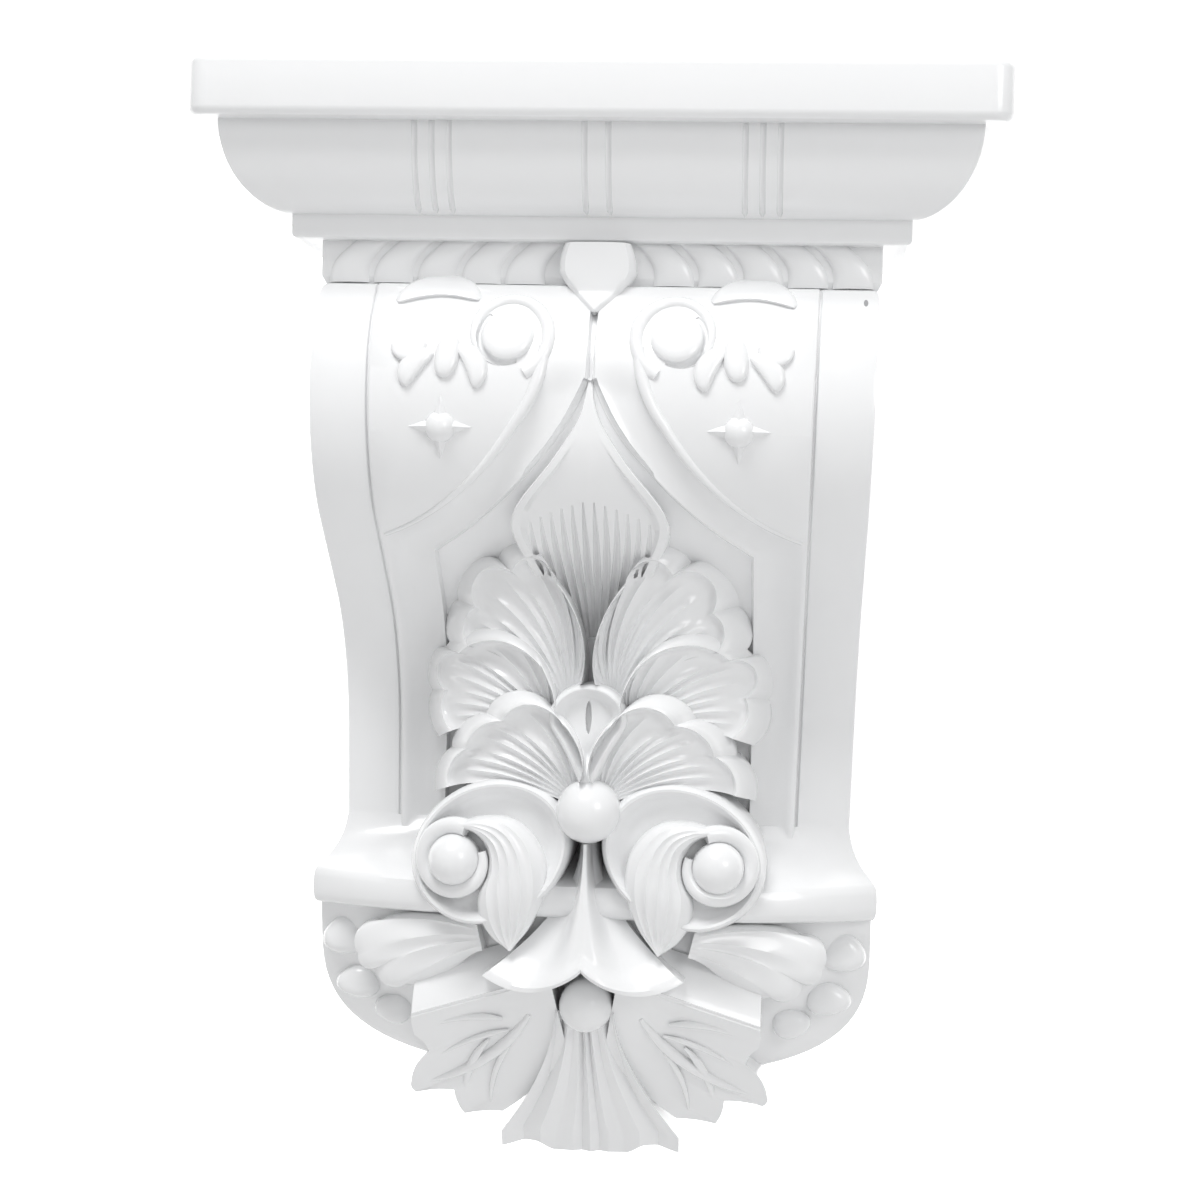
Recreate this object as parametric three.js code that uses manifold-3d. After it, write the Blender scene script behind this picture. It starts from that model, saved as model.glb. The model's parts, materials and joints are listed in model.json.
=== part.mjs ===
// A moulded corbel: a shelf board over a quarter-round moulding, an S-shaped front with
// curled straps, a fluted palmette, three tiers of leaves, two scrolls and a hanging leaf.
// Millimetres, +Z up. The flat back lies on the wall plane Y = 0 and the front faces -Y.
// The origin is on the back, on the centre line, halfway up.

import * as THREE from 'three';
import { mergeVertices } from 'three/addons/utils/BufferGeometryUtils.js';
import Module from 'manifold-3d';

// Shelf board
const boardWidth = 254;
const boardDepth = 94;
const boardThickness = 18.6;
const boardCornerRadius = 5;
const boardEdgeRound = 1.8;

// Quarter-round moulding under the board, with groups of upright grooves on its front
const mouldingStepBack = 8.5;
const mouldingHeight = 26.8;
const mouldingEndRun = 20.6;
const mouldingFrontRun = 18.6;
const grooveWidth = 1.8;
const grooveDepth = 1.2;
const tripleGroovePlace = 51.2;
const tripleGrooveSpacing = 5.4;
const pairGrooveSpacing = 7.4;

// Flat fillet under the moulding
const filletHeight = 7.4;
const filletProud = 1;
const filletChamfer = 1.2;

// Neck band with leaning gadroons
const neckStepBack = 8.8;
const neckDepthStepBack = 6;
const neckHeight = 13.9;
const gadroonsPerSide = 5;
const gadroonHeight = 3.2;

// Front with its carving, from under the neck to the lowest leaf
const carvedHeight = 286.3;
const bodyDepth = 85.8;
const bodySideSetback = 0.2;

// How far the solids run past the wall plane before the back is cut flat
const wallOverrun = 4;

// How far stacked solids reach into each other
const joint = 0.01;

// White gloss finish
const glossWhite = { color: 0xf4f5f6, roughness: 0.16, metalness: 0 };

// The front and its carving are drawn on a sheet: x out from the centre line, drop down
// from the top of the board and depth out from the wall. The sheet is stretched over the
// body, so that the carving keeps its shares of the body's own width, height and depth.
const sheet = { halfWidth: 88.6, top: 66.7, bottom: 353, depth: 85.8 };

// Levels and half-widths that follow from the driving sizes
const totalHeight = boardThickness + mouldingHeight + filletHeight + neckHeight + carvedHeight;
const boardTop = totalHeight / 2;
const boardUnderside = boardTop - boardThickness;
const mouldingUnderside = boardUnderside - mouldingHeight;
const filletUnderside = mouldingUnderside - filletHeight;
const bodyTop = filletUnderside - neckHeight;
const mouldingHalfWidth = boardWidth / 2 - mouldingStepBack;
const mouldingDepth = boardDepth - mouldingStepBack;
const filletHalfWidth = mouldingHalfWidth - mouldingEndRun;
const filletDepth = mouldingDepth - mouldingFrontRun + filletProud;
const neckHalfWidth = filletHalfWidth - neckStepBack;
const neckDepth = filletDepth - neckDepthStepBack;
const bodyHalfWidth = neckHalfWidth - bodySideSetback;
const stretch = {
  x: bodyHalfWidth / sheet.halfWidth,
  depth: bodyDepth / sheet.depth,
  drop: carvedHeight / (sheet.bottom - sheet.top),
};

const wasm = await Module();
wasm.setup();

const { PI, abs, atan, atan2, cos, hypot, max, min, sin, sqrt } = Math;
const lerp = THREE.MathUtils.lerp;
const smooth = THREE.MathUtils.smoothstep;

// A point of the drawing sheet as a point of the corbel
function place(x, drop, depth) {
  return new THREE.Vector3(x * stretch.x, -depth * stretch.depth, bodyTop - (drop - sheet.top) * stretch.drop);
}

// A solid from any closed geometry, with its shared corners merged and its faces outward
function solidOf(geometry) {
  geometry.deleteAttribute('normal');
  geometry.deleteAttribute('uv');
  const merged = mergeVertices(geometry, 1e-5);
  const points = merged.attributes.position;
  const corners = Uint32Array.from(merged.index.array);
  const a = new THREE.Vector3();
  const b = new THREE.Vector3();
  const c = new THREE.Vector3();
  let volume = 0;
  for (let i = 0; i < corners.length; i += 3) {
    a.fromBufferAttribute(points, corners[i]);
    b.fromBufferAttribute(points, corners[i + 1]);
    c.fromBufferAttribute(points, corners[i + 2]);
    volume += a.dot(b.cross(c));
  }
  if (volume < 0) {
    for (let i = 0; i < corners.length; i += 3) {
      [corners[i + 1], corners[i + 2]] = [corners[i + 2], corners[i + 1]];
    }
  }
  const mesh = new wasm.Mesh({
    numProp: 3,
    vertProperties: Float32Array.from(points.array),
    triVerts: corners,
  });
  return new wasm.Manifold(mesh);
}

// A box of across by along cells, bent so that each of its points lies where the shape
// function puts it. The function is given the share across, the share along and whether
// the point is on the front.
function bentBox(across, along, shape) {
  const box = new THREE.BoxGeometry(1, 1, 1, across, along, 1);
  const points = box.attributes.position;
  for (let i = 0; i < points.count; i += 1) {
    const corner = shape(points.getX(i) + 0.5, points.getY(i) + 0.5, points.getZ(i) > 0);
    points.setXYZ(i, corner.x, corner.y, corner.z);
  }
  return solidOf(box);
}

// A point on the arc from a to b that bulges to the left of the way by a share of its chord
function onArc(a, b, bulge, t) {
  const dx = b[0] - a[0];
  const dy = b[1] - a[1];
  if (abs(bulge) < 1e-3) {
    return [a[0] + dx * t, a[1] + dy * t];
  }
  const half = 2 * atan(2 * bulge);
  const turn = half * (2 * t - 1);
  const along = (sin(turn) / sin(half) + 1) / 2;
  const aside = (cos(turn) - cos(half)) / (2 * sin(half));
  return [a[0] + dx * along + dy * aside, a[1] + dy * along - dx * aside];
}

// A point on a row of arcs, each given by its end and bulge, at a share of the whole row
function onArcs(start, arcs, t) {
  const scaled = min(t * arcs.length, arcs.length - 1e-9);
  const index = Math.floor(scaled);
  const from = index === 0 ? start : arcs[index - 1].to;
  return onArc(from, arcs[index].to, arcs[index].bulge, scaled - index);
}

// Depth of the S-shaped front at a drop: a bulge, a straight slant and a hollow waist
const frontBulge = { drop: 106, depth: 39.3, radius: 46.5 };
const slant = { angle: 0.8828, length: 34.2 };
const waistRadius = 60;
const slantTop = {
  drop: frontBulge.drop + frontBulge.radius * sin(slant.angle),
  depth: frontBulge.depth + frontBulge.radius * cos(slant.angle),
};
const slantEnd = {
  drop: slantTop.drop + slant.length * cos(slant.angle),
  depth: slantTop.depth - slant.length * sin(slant.angle),
};
const waist = {
  drop: slantEnd.drop + waistRadius * sin(slant.angle),
  depth: slantEnd.depth + waistRadius * cos(slant.angle),
};
function frontDepth(drop) {
  if (drop < slantTop.drop) {
    return frontBulge.depth + sqrt(max(0, frontBulge.radius ** 2 - (drop - frontBulge.drop) ** 2));
  }
  if (drop < slantEnd.drop) {
    const share = (drop - slantTop.drop) / (slantEnd.drop - slantTop.drop);
    return lerp(slantTop.depth, slantEnd.depth, share);
  }
  if (drop < waist.drop) {
    return waist.depth - sqrt(waistRadius ** 2 - (drop - waist.drop) ** 2);
  }
  return waist.depth - waistRadius;
}

// Half-width of the front, which narrows a little downwards
const bodyTaper = 0.0265;
function frontHalfWidth(drop) {
  return sheet.halfWidth - (drop - sheet.top) * bodyTaper;
}

// Lines that divide the front: the groove beside each side strip, and the inner edge of
// the raised straps, which meet at the centre and sweep out to the waist
const stripGroove = { top: 70, bottom: 66, width: 1.1, depth: 1.3 };
const strapRise = 1.6;
const fieldFall = 1.4;
const strapEdge = { start: [1.1, 98.5], arcs: [{ to: [17, 124], bulge: -0.06 }, { to: [51, 150], bulge: -0.05 }] };
function strapEdgeX(drop) {
  const { start, arcs } = strapEdge;
  const end = arcs[arcs.length - 1].to;
  if (drop <= start[1]) {
    return start[0];
  }
  if (drop >= end[1]) {
    return end[0];
  }
  let low = 0;
  let high = 1;
  for (let i = 0; i < 24; i += 1) {
    const middle = (low + high) / 2;
    if (onArcs(start, arcs, middle)[1] < drop) {
      low = middle;
    } else {
      high = middle;
    }
  }
  return onArcs(start, arcs, low)[0];
}
function stripGrooveX(drop) {
  return lerp(stripGroove.top, stripGroove.bottom, (drop - sheet.top) / (245 - sheet.top));
}
const strapDepth = (drop) => frontDepth(drop) + strapRise;

// The board: a slab with rounded front corners and softened edges
function board() {
  const w = boardWidth / 2 - boardEdgeRound;
  const d = boardDepth - boardEdgeRound;
  const r = boardCornerRadius - boardEdgeRound;
  const plan = new THREE.Shape();
  plan.moveTo(w, wallOverrun);
  plan.lineTo(-w, wallOverrun);
  plan.lineTo(-w, -d + r);
  plan.absarc(-w + r, -d + r, r, PI, 1.5 * PI, false);
  plan.absarc(w - r, -d + r, r, 1.5 * PI, 2 * PI, false);
  plan.closePath();
  const slab = new THREE.ExtrudeGeometry(plan, {
    depth: boardThickness - 2 * boardEdgeRound,
    bevelSize: boardEdgeRound,
    bevelThickness: boardEdgeRound,
    bevelSegments: 1,
    curveSegments: 3,
  });
  slab.translate(0, 0, boardUnderside + boardEdgeRound);
  return solidOf(slab);
}

// Setback of the quarter-round from its widest line, at a share of its height
function mouldingSetback(run, share) {
  return run * (1 - sqrt(max(0, 1 - share ** 2)));
}

// A block whose plan is a rectangle against the wall, with rows of setbacks and level
function steppedBlock(halfWidth, depth, rows) {
  return bentBox(1, rows.length - 1, (u, v, front) => {
    const { ends, face, level } = rows[Math.round(v * (rows.length - 1))];
    return new THREE.Vector3((2 * u - 1) * (halfWidth - ends), front ? face - depth : wallOverrun, level);
  });
}

function moulding() {
  const steps = 8;
  const rows = [];
  for (let i = 0; i <= steps; i += 1) {
    const share = sin((i / steps) * PI / 2);
    rows.push({
      ends: mouldingSetback(mouldingEndRun, share),
      face: mouldingSetback(mouldingFrontRun, share),
      level: boardUnderside - share * mouldingHeight,
    });
  }
  return steppedBlock(mouldingHalfWidth, mouldingDepth, rows);
}

// One upright groove, cut along the round front of the moulding
function mouldingGroove(x) {
  const steps = 3;
  return bentBox(1, steps, (u, v, front) => {
    const share = sin(v * PI / 2);
    const cutDepth = grooveDepth * (1 - smooth(v, 0.85, 1) * 0.9);
    const y = mouldingSetback(mouldingFrontRun, share) - mouldingDepth + (front ? -grooveDepth : cutDepth);
    return new THREE.Vector3(x + (u - 0.5) * grooveWidth, y, boardUnderside - share * mouldingHeight);
  });
}

function mouldingGrooves() {
  const places = [-pairGrooveSpacing / 2, pairGrooveSpacing / 2];
  for (const side of [-1, 1]) {
    for (const step of [-1, 0, 1]) {
      places.push(side * (tripleGroovePlace + step * tripleGrooveSpacing));
    }
  }
  return places.map(mouldingGroove);
}

function fillet() {
  return steppedBlock(filletHalfWidth, filletDepth, [
    { ends: 0, face: 0, level: mouldingUnderside + joint },
    { ends: 0, face: 0, level: filletUnderside + filletChamfer },
    { ends: filletChamfer, face: filletChamfer, level: filletUnderside },
  ]);
}

function neck() {
  return steppedBlock(neckHalfWidth, neckDepth, [
    { ends: 0, face: 0, level: filletUnderside + 0.5 },
    { ends: 0, face: 0, level: bodyTop + 2.2 },
    { ends: 3.5, face: 3.5, level: bodyTop - 2 },
  ]);
}

// One gadroon of the neck: a leaning pad with a rounded face
function gadroon(side, index) {
  const pitch = (neckHalfWidth - 15) / gadroonsPerSide;
  const foot = 15 + pitch * (index + 0.62);
  const lean = pitch * 0.5;
  return bentBox(2, 3, (u, v, front) => {
    const across = 2 * u - 1;
    const x = foot - lean * v + across * pitch * 0.46 + lean * 0.35 * sin(PI * v);
    const rise = gadroonHeight * sqrt(max(0, 1 - across ** 2)) * sqrt(max(0, sin(PI * (0.12 + 0.8 * v))));
    const level = lerp(bodyTop + 1.5, filletUnderside + 0.2, v);
    return new THREE.Vector3(side * min(x, neckHalfWidth), front ? -neckDepth - rise : -neckDepth + 4, level);
  });
}

// The body: columns follow the side strips, their grooves and the edges of the straps
function body() {
  const rows = 20;
  const foot = 262;
  const shoulder = 69.5;
  const columns = 10;
  return bentBox(columns, rows, (u, v, front) => {
    const drop = v === 0 ? sheet.top : lerp(shoulder, foot, (v * rows - 1) / (rows - 1));
    const slot = Math.round(u * columns) - columns / 2;
    const shoulderRound = v === 0 ? 4 : 0;
    const depth = frontDepth(max(drop, shoulder)) - shoulderRound;
    const edge = strapEdgeX(drop);
    const groove = stripGrooveX(drop);
    const halfWidth = frontHalfWidth(drop) - shoulderRound * 0.6;
    const levels = [
      [0, -fieldFall],
      [edge - 0.7, -fieldFall],
      [edge + 0.7, strapRise],
      [groove - stripGroove.width, strapRise],
      [groove + stripGroove.width * 0.3, -stripGroove.depth],
      [halfWidth, 0],
    ];
    const [x, rise] = levels[abs(slot)];
    return place(Math.sign(slot) * x, drop, front ? depth + rise : -wallOverrun);
  });
}

// A rounded bead laid on a surface along a path, with a width and a height at each share
function bead({ path, width, height, surface, steps, across = 2, sink = 2.5, flutes = 0 }) {
  return bentBox(across, steps, (u, v, front) => {
    const [x, drop] = path(v);
    const [x0, drop0] = path(max(0, v - 0.01));
    const [x1, drop1] = path(min(1, v + 0.01));
    const length = hypot(x1 - x0, drop1 - drop0);
    const aside = (u - 0.5) * width(v);
    const px = x - (aside * (drop1 - drop0)) / length;
    const pd = drop + (aside * (x1 - x0)) / length;
    const column = Math.round(u * across);
    const fluted = column % 2 === 0 && column > 0 && column < across ? flutes : 0;
    const rise = height(v) * sqrt(max(0, 1 - (2 * u - 1) ** 2)) - fluted;
    return place(px, pd, surface(px, pd, v) + (front ? rise : -sink));
  });
}

const tapered = (full, tail = 0.15) => (t) => full * (tail + (1 - tail) * sqrt(max(0, sin(PI * t))));

// The straps' inner ridge, which starts at the curl and sweeps out to the strip groove
function strapRidge(side) {
  const arcs = [{ to: [23.5, 112.5], bulge: -0.06 }, { to: [66.5, 146.5], bulge: -0.09 }];
  return bead({
    path: (t) => {
      const [x, drop] = onArcs([14.6, 89], arcs, t);
      return [side * x, drop];
    },
    width: (t) => 3.4 - 1.6 * t,
    height: (t) => 1.6 - 1 * t,
    surface: (x, drop) => strapDepth(drop),
    steps: 7,
  });
}

// The curl at the top of each strap: a disc, and a ridge that winds round it
const curl = { x: 26.3, drop: 84.2, radius: 8.2 };
function curlRidge(side) {
  return bead({
    path: (t) => {
      const angle = lerp(0.42 * PI, -1.32 * PI, t);
      const radius = lerp(curl.radius + 0.6, curl.radius + 5.4, t);
      return [side * (curl.x + radius * cos(angle)), curl.drop + radius * sin(angle)];
    },
    width: (t) => 2.4 + 1.8 * t,
    height: (t) => 1.2 + 0.6 * sin(PI * t),
    surface: (x, drop) => strapDepth(drop),
    steps: 8,
  });
}

// A round form turned from a profile of shares of its radius and rises over its surface
function turned({ x, drop, radius, radiusDown = radius, tilt = 0, profile, surface, segments }) {
  const outline = profile.map(([share, rise]) => new THREE.Vector2(share, rise));
  const lathe = new THREE.LatheGeometry(outline, segments);
  const points = lathe.attributes.position;
  for (let i = 0; i < points.count; i += 1) {
    const a = points.getX(i) * radius;
    const b = points.getZ(i) * radiusDown;
    const px = x + a * cos(tilt) - b * sin(tilt);
    const pd = drop + a * sin(tilt) + b * cos(tilt);
    const q = place(px, pd, surface(px, pd) + points.getY(i));
    points.setXYZ(i, q.x, q.y, q.z);
  }
  return solidOf(lathe);
}

function curlDisc(side) {
  return turned({
    x: side * curl.x,
    drop: curl.drop,
    radius: curl.radius,
    profile: [[0, -2.5], [1, -2.5], [1, 0.6], [0.8, 1.7], [0, 1.9]],
    surface: (x, drop) => strapDepth(drop),
    segments: 14,
  });
}

// A ball half sunk in the carving
function ball(x, drop, depth, radius, rings = 6) {
  const sphere = new THREE.SphereGeometry(radius, 2 * rings, rings);
  const centre = place(x, drop, depth);
  sphere.translate(centre.x, centre.y, centre.z);
  return solidOf(sphere);
}

// The sprig beside each curl: a curled leaf and three petals
function sprig(side) {
  const petal = (from, to, bulgeOut, width, height) => {
    const rim = [[0, -2], [1, -2], [1, 0.2], [0, height]].map((p) => new THREE.Vector2(...p));
    const lens = new THREE.LatheGeometry(rim, 6);
    const points = lens.attributes.position;
    const length = hypot(to[0] - from[0], to[1] - from[1]);
    for (let i = 0; i < points.count; i += 1) {
      const [x, drop] = onArc(from, to, bulgeOut, 0.5 + points.getZ(i) / 2);
      const aside = (points.getX(i) * width) / 2 / length;
      const px = x + aside * (to[1] - from[1]);
      const pd = drop - aside * (to[0] - from[0]);
      const q = place(side * px, pd, strapDepth(pd) + points.getY(i));
      points.setXYZ(i, q.x, q.y, q.z);
    }
    return solidOf(lens);
  };
  return [
    petal([36.5, 72.5], [62, 74], 0.2, 7.5, 2.2),
    petal([62, 88.5], [52, 88.5], 0.22, 5, 1.8),
    petal([57.5, 100], [50, 90], -0.14, 6, 2),
    petal([45, 96.5], [44, 84], 0.02, 6.5, 2.2),
    petal([36, 101], [41, 88], 0.16, 6, 2),
  ];
}

// The rosette under each sprig: a ball and four pointed ticks
const rosette = { x: 46, drop: 113.5, ball: 4.8, reach: 10.3, waist: 2.6 };
function rosetteTicks(side) {
  const star = new THREE.LatheGeometry([[0, -2], [1, -2], [1, 0.3], [0, 2]].map((p) => new THREE.Vector2(...p)), 8);
  const points = star.attributes.position;
  for (let i = 0; i < points.count; i += 1) {
    const eighth = Math.round((atan2(points.getZ(i), points.getX(i)) * 4) / PI);
    const radius = eighth % 2 === 0 ? rosette.reach : rosette.waist;
    const drop = rosette.drop + points.getZ(i) * radius;
    const q = place(side * (rosette.x + points.getX(i) * radius), drop, strapDepth(drop) + points.getY(i));
    points.setXYZ(i, q.x, q.y, q.z);
  }
  return solidOf(star);
}

// The heart on the neck, with its tip between the two straps
function heart() {
  return bentBox(4, 5, (u, v, front) => {
    const drop = lerp(54, 75.5, v);
    const halfWidth = v < 0.4 ? 9.6 + 1.4 * sin((v / 0.4) * PI * 0.6) : 10.9 * (1 - ((v - 0.4) / 0.6) ** 1.25) + 0.5;
    const across = 2 * u - 1;
    const dome = 2.4 * (1 - across ** 2) * (1 - 0.3 * v);
    const under = max(neckDepth / stretch.depth + 2.6, frontDepth(max(drop, 69.5)) + strapRise + 0.3);
    return place(across * halfWidth, drop, front ? under + dome : 40);
  });
}

// The palmette: an ogee leaf with a flat rim and flutes that run down into a slot
function palmetteHalfWidth(drop) {
  const shares = [[97.5, 0.4], [112, 4.4], [124, 11.9], [134.4, 20.4], [140, 23.8], [145.4, 24.6], [165, 15], [192, 6]];
  const curve = new THREE.SplineCurve(shares.map(([d, w]) => new THREE.Vector2(d, w)));
  let low = 0;
  let high = 1;
  for (let i = 0; i < 24; i += 1) {
    const middle = (low + high) / 2;
    if (curve.getPoint(middle).x < drop) {
      low = middle;
    } else {
      high = middle;
    }
  }
  return curve.getPoint(low).y;
}
function palmetteDepth(drop) {
  return frontDepth(drop) + lerp(1.2, 7.5, smooth(drop, 98, 142)) + lerp(0, 14, smooth(drop, 142, 192));
}
function palmette() {
  const columns = 14;
  const rows = 9;
  const rim = 2.8;
  return bentBox(columns, rows, (u, v, front) => {
    const drop = lerp(97.5, 192, v);
    const halfWidth = palmetteHalfWidth(drop);
    const slot = Math.round(u * columns) - columns / 2;
    const last = columns / 2;
    const inner = max(halfWidth - rim, halfWidth * 0.4);
    const x = abs(slot) === last ? halfWidth : (inner * abs(slot)) / (last - 1);
    const flute = abs(slot) % 2 === 1 && abs(slot) < last - 1 ? 1.3 * smooth(drop, 134, 146) : 0;
    const dish = abs(slot) < last - 1 ? 1.6 * smooth(drop, 112, 136) : 0;
    const depth = palmetteDepth(drop) - flute - dish;
    return place(Math.sign(slot) * x, drop, front ? depth : 12);
  });
}

// Depth of the leaves' crests: full at the middle and falling away to the sides
function crestDepth(x, drop) {
  return lerp(66.5, 69, smooth(drop, 170, 215)) - 42 * (abs(x) / 58) ** 3.2;
}

// A leaf whose ribs fan from a narrow foot to a scalloped rim that rolls over. Its veined
// hollow lies under the crest of the roll.
const footFall = 7;
const veinDepth = 1.2;
const leafBack = 12;
function leaf({ side, foot, rim, bulges, roll, hollow, edgeFall, perLobe, crest = crestDepth }) {
  const columns = [0, 0.055, 0.1];
  const lobes = rim.arcs.length;
  for (let i = 0; i < lobes * perLobe; i += 1) {
    const share = (i + 1) / (lobes * perLobe);
    if (share > columns[columns.length - 1] + 0.02) {
      columns.push(share);
    }
  }
  const rows = [0, 0.5, 0.93, 1, 1.5, 2];
  const last = columns.length - 1;
  return bentBox(last, rows.length - 1, (u, v, front) => {
    const index = Math.round(u * last);
    const share = columns[index];
    const row = rows[Math.round(v * (rows.length - 1))];
    const from = [lerp(foot[0][0], foot[1][0], share ** 0.6), lerp(foot[0][1], foot[1][1], share ** 0.6)];
    const to = onArcs(rim.start, rim.arcs, share);
    const way = hypot(to[0] - from[0], to[1] - from[1]);
    const crestShare = 1 - min(0.45, roll / way);
    const t = row <= 1 ? row * crestShare : lerp(crestShare, 1, row - 1);
    const [x, drop] = onArc(from, to, lerp(bulges[0], bulges[1], share), t);
    const top = crest(x, drop);
    const outerFall = edgeFall * (1 - cos(max(0, row - 1) * PI / 2));
    const toFoot = footFall * max(0, 1 - row) ** 2;
    const scoop = row < 1 ? hollow * min(1, (1 - row) / 0.07) : 0;
    const vein = row > 0.1 && row < 1 && index % 2 === 0 && index > 2 && index < last ? veinDepth : 0;
    const sideRim = index === 0 ? edgeFall * 0.5 : 0;
    const sink = index <= 1 ? sideRim : scoop + vein;
    return place(side * x, drop, front ? top - toFoot - sink - outerFall : leafBack);
  });
}

const upperLeaf = {
  foot: [[1.9, 193], [10, 199]],
  rim: {
    start: [16.5, 153.6],
    arcs: [{ to: [32.6, 152], bulge: 0.42 }, { to: [46.6, 166.4], bulge: 0.36 }, { to: [48.5, 180], bulge: 0.22 }],
  },
  bulges: [0.13, 0.12],
  roll: 8,
  hollow: 4.5,
  edgeFall: 6,
  perLobe: 4,
};
const middleLeaf = {
  foot: [[10.4, 199.5], [16, 208]],
  rim: {
    start: [19.8, 180.6],
    arcs: [{ to: [50.8, 182.4], bulge: 0.2 }, { to: [56, 197], bulge: 0.36 }, { to: [52, 212], bulge: 0.18 }],
  },
  bulges: [0.12, 0.1],
  roll: 6.2,
  hollow: 4.5,
  edgeFall: 6,
  perLobe: 4,
};
const lowerLeaf = {
  foot: [[1.8, 223], [6, 231]],
  rim: {
    start: [10.6, 201.2],
    arcs: [{ to: [34, 202.6], bulge: 0.28 }, { to: [46.4, 214.6], bulge: 0.2 }, { to: [53, 230], bulge: 0.16 }],
  },
  bulges: [0.13, 0.12],
  roll: 5.6,
  hollow: 4.2,
  edgeFall: 5.5,
  perLobe: 4,
};

// The bud between the lower leaves: a ringed oval dish with a slit
function bud() {
  const ring = turned({
    x: 0,
    drop: 203,
    radius: 10.8,
    radiusDown: 11.6,
    profile: [[0, -44], [1, -44], [1, 0], [0.86, 2.4], [0.74, 2], [0.62, -1.2], [0, -0.4]],
    surface: () => 63,
    segments: 12,
  });
  const slit = bentBox(2, 1, (u, v, front) => {
    const halfWidth = u === 0.5 ? 0.9 : 0.05;
    return place((2 * v - 1) * halfWidth, lerp(197.5, 208.5, u), front ? 70 : 60.4);
  });
  return ring.subtract(slit);
}

// Each big scroll: a tilted dish with a rim, a fluted mass that winds round an eye
const scroll = { x: 31.2, drop: 246.6, long: 27, short: 21.8, tilt: 0.52 };
const eyeFromScroll = { x: 10.8, drop: 2.8 };
const eye = {
  x: scroll.x + eyeFromScroll.x,
  drop: scroll.drop + eyeFromScroll.drop,
  radius: 8.2,
  depth: 60.5,
};
const scrollFace = { depth: 61, fall: 7, from: 2.8, to: 26.8 };
function scrollDepth(x) {
  const share = smooth(abs(x), scroll.x + scrollFace.from, scroll.x + scrollFace.to);
  return scrollFace.depth - scrollFace.fall * share;
}
function scrollDish(side) {
  return turned({
    x: side * scroll.x,
    drop: scroll.drop,
    radius: scroll.long,
    radiusDown: scroll.short,
    tilt: side * scroll.tilt,
    profile: [[0, -50], [1, -50], [1, -3], [0.92, 0.4], [0.74, -3.4], [0, -3.4]],
    surface: scrollDepth,
    segments: 18,
  });
}
function scrollMass(side) {
  const turns = 1.12;
  const tailShare = 0.36;
  const start = 0.96 * PI;
  const tail = { tip: [scroll.x - 7, scroll.drop + 31.4], root: [scroll.x - 6.4, scroll.drop + 5], bulge: 0.05 };
  const share = (t) => (t - tailShare) / (1 - tailShare);
  const path = (t) => {
    if (t < tailShare) {
      const [x, drop] = onArc(tail.tip, tail.root, tail.bulge, t / tailShare);
      return [side * x, drop];
    }
    const angle = start + 2 * PI * turns * share(t);
    const radius = t < tailShare + 0.16 ? lerp(17.2, 11.2, (share(t) / share(tailShare + 0.16)) ** 0.8) : 10.8;
    return [side * (eye.x + radius * cos(angle)), eye.drop + radius * sin(angle)];
  };
  return bead({
    path,
    width: (t) => (t < tailShare
      ? 22.5 * sin((t / tailShare) * PI * 0.44 + 0.07)
      : lerp(22.3, 4, min(1, share(t) * 3.6) ** 0.8) - 2 * share(t)),
    height: (t) => (t < tailShare ? lerp(2, 7, t / tailShare) : lerp(7, 3, min(1, share(t) * 3))),
    surface: (x, drop, t) => scrollDepth(x) - lerp(3, 2, t),
    steps: 14,
    across: 6,
    sink: 16,
    flutes: 0.8,
  });
}

// The tongue: a nose under the middle ball that flares to a two-lobed lip
function tongue() {
  return bentBox(10, 5, (u, v, front) => {
    const across = 2 * u - 1;
    const bottom = 283 + 7.4 * sin(PI * min(1, abs(across) / 1.12)) ** 0.8;
    const drop = lerp(243, bottom, v);
    const halfWidth = 2.6 + 29.5 * v ** 2;
    const nose = 63 + 4 * v ** 2;
    const cheek = 9 * smooth(abs(across), 0.2, 0.62) * (1 - v ** 3 * 0.75) + 5 * abs(across) ** 3;
    return place(across * halfWidth, drop, front ? nose - cheek : 20);
  });
}

// The hanging leaf: a fan with pointed side lobes that slopes back to the wall
function hangingDepth(drop) {
  return lerp(57, 13, smooth(drop, 284, 356) * 0.55 + 0.45 * min(1, (drop - 284) / 66));
}
function hangingSide(side) {
  const arcs = [
    { to: [56, 309], bulge: 0.04 },
    { to: [51.8, 315], bulge: -0.1 },
    { to: [59, 327], bulge: 0.1 },
    { to: [57.5, 331], bulge: 0.2 },
    { to: [44.8, 329.5], bulge: -0.05 },
    { to: [42, 338.5], bulge: 0.08 },
    { to: [29, 337], bulge: -0.04 },
  ];
  const columns = arcs.length;
  const rows = [0, 0.3, 0.6, 0.86, 1];
  return bentBox(columns, rows.length - 1, (u, v, front) => {
    const to = onArcs([56.5, 301], arcs, u);
    const from = [lerp(22, 8, u), lerp(287, 312, u)];
    const row = rows[Math.round(v * (rows.length - 1))];
    const [x, drop] = onArc(from, to, lerp(0.03, -0.06, u), row);
    const dish = 3 * sin(PI * row) * smooth(u, 0, 0.2);
    return place(side * x, drop, front ? hangingDepth(drop) - dish : 0);
  });
}
function hangingTop(side) {
  return bentBox(4, 2, (u, v, front) => {
    const [x, crestDrop] = onArc([24, 287], [56.2, 300.4], 0.14, u);
    const drop = crestDrop + 1.4 - v * 9.9;
    const depth = hangingDepth(crestDrop) - 0.5 - 11 * v ** 1.6;
    return place(side * x, drop, front ? depth : 4);
  });
}
function hangingRib(side, from, to, bulgeOut, width, height) {
  return bead({
    path: (t) => {
      const [x, drop] = onArc(from, to, bulgeOut, t);
      return [side * x, drop];
    },
    width: tapered(width, 0.3),
    height: tapered(height, 0.2),
    surface: (x, drop) => hangingDepth(drop) - 1.6,
    steps: 3,
    sink: 3,
  });
}
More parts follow.
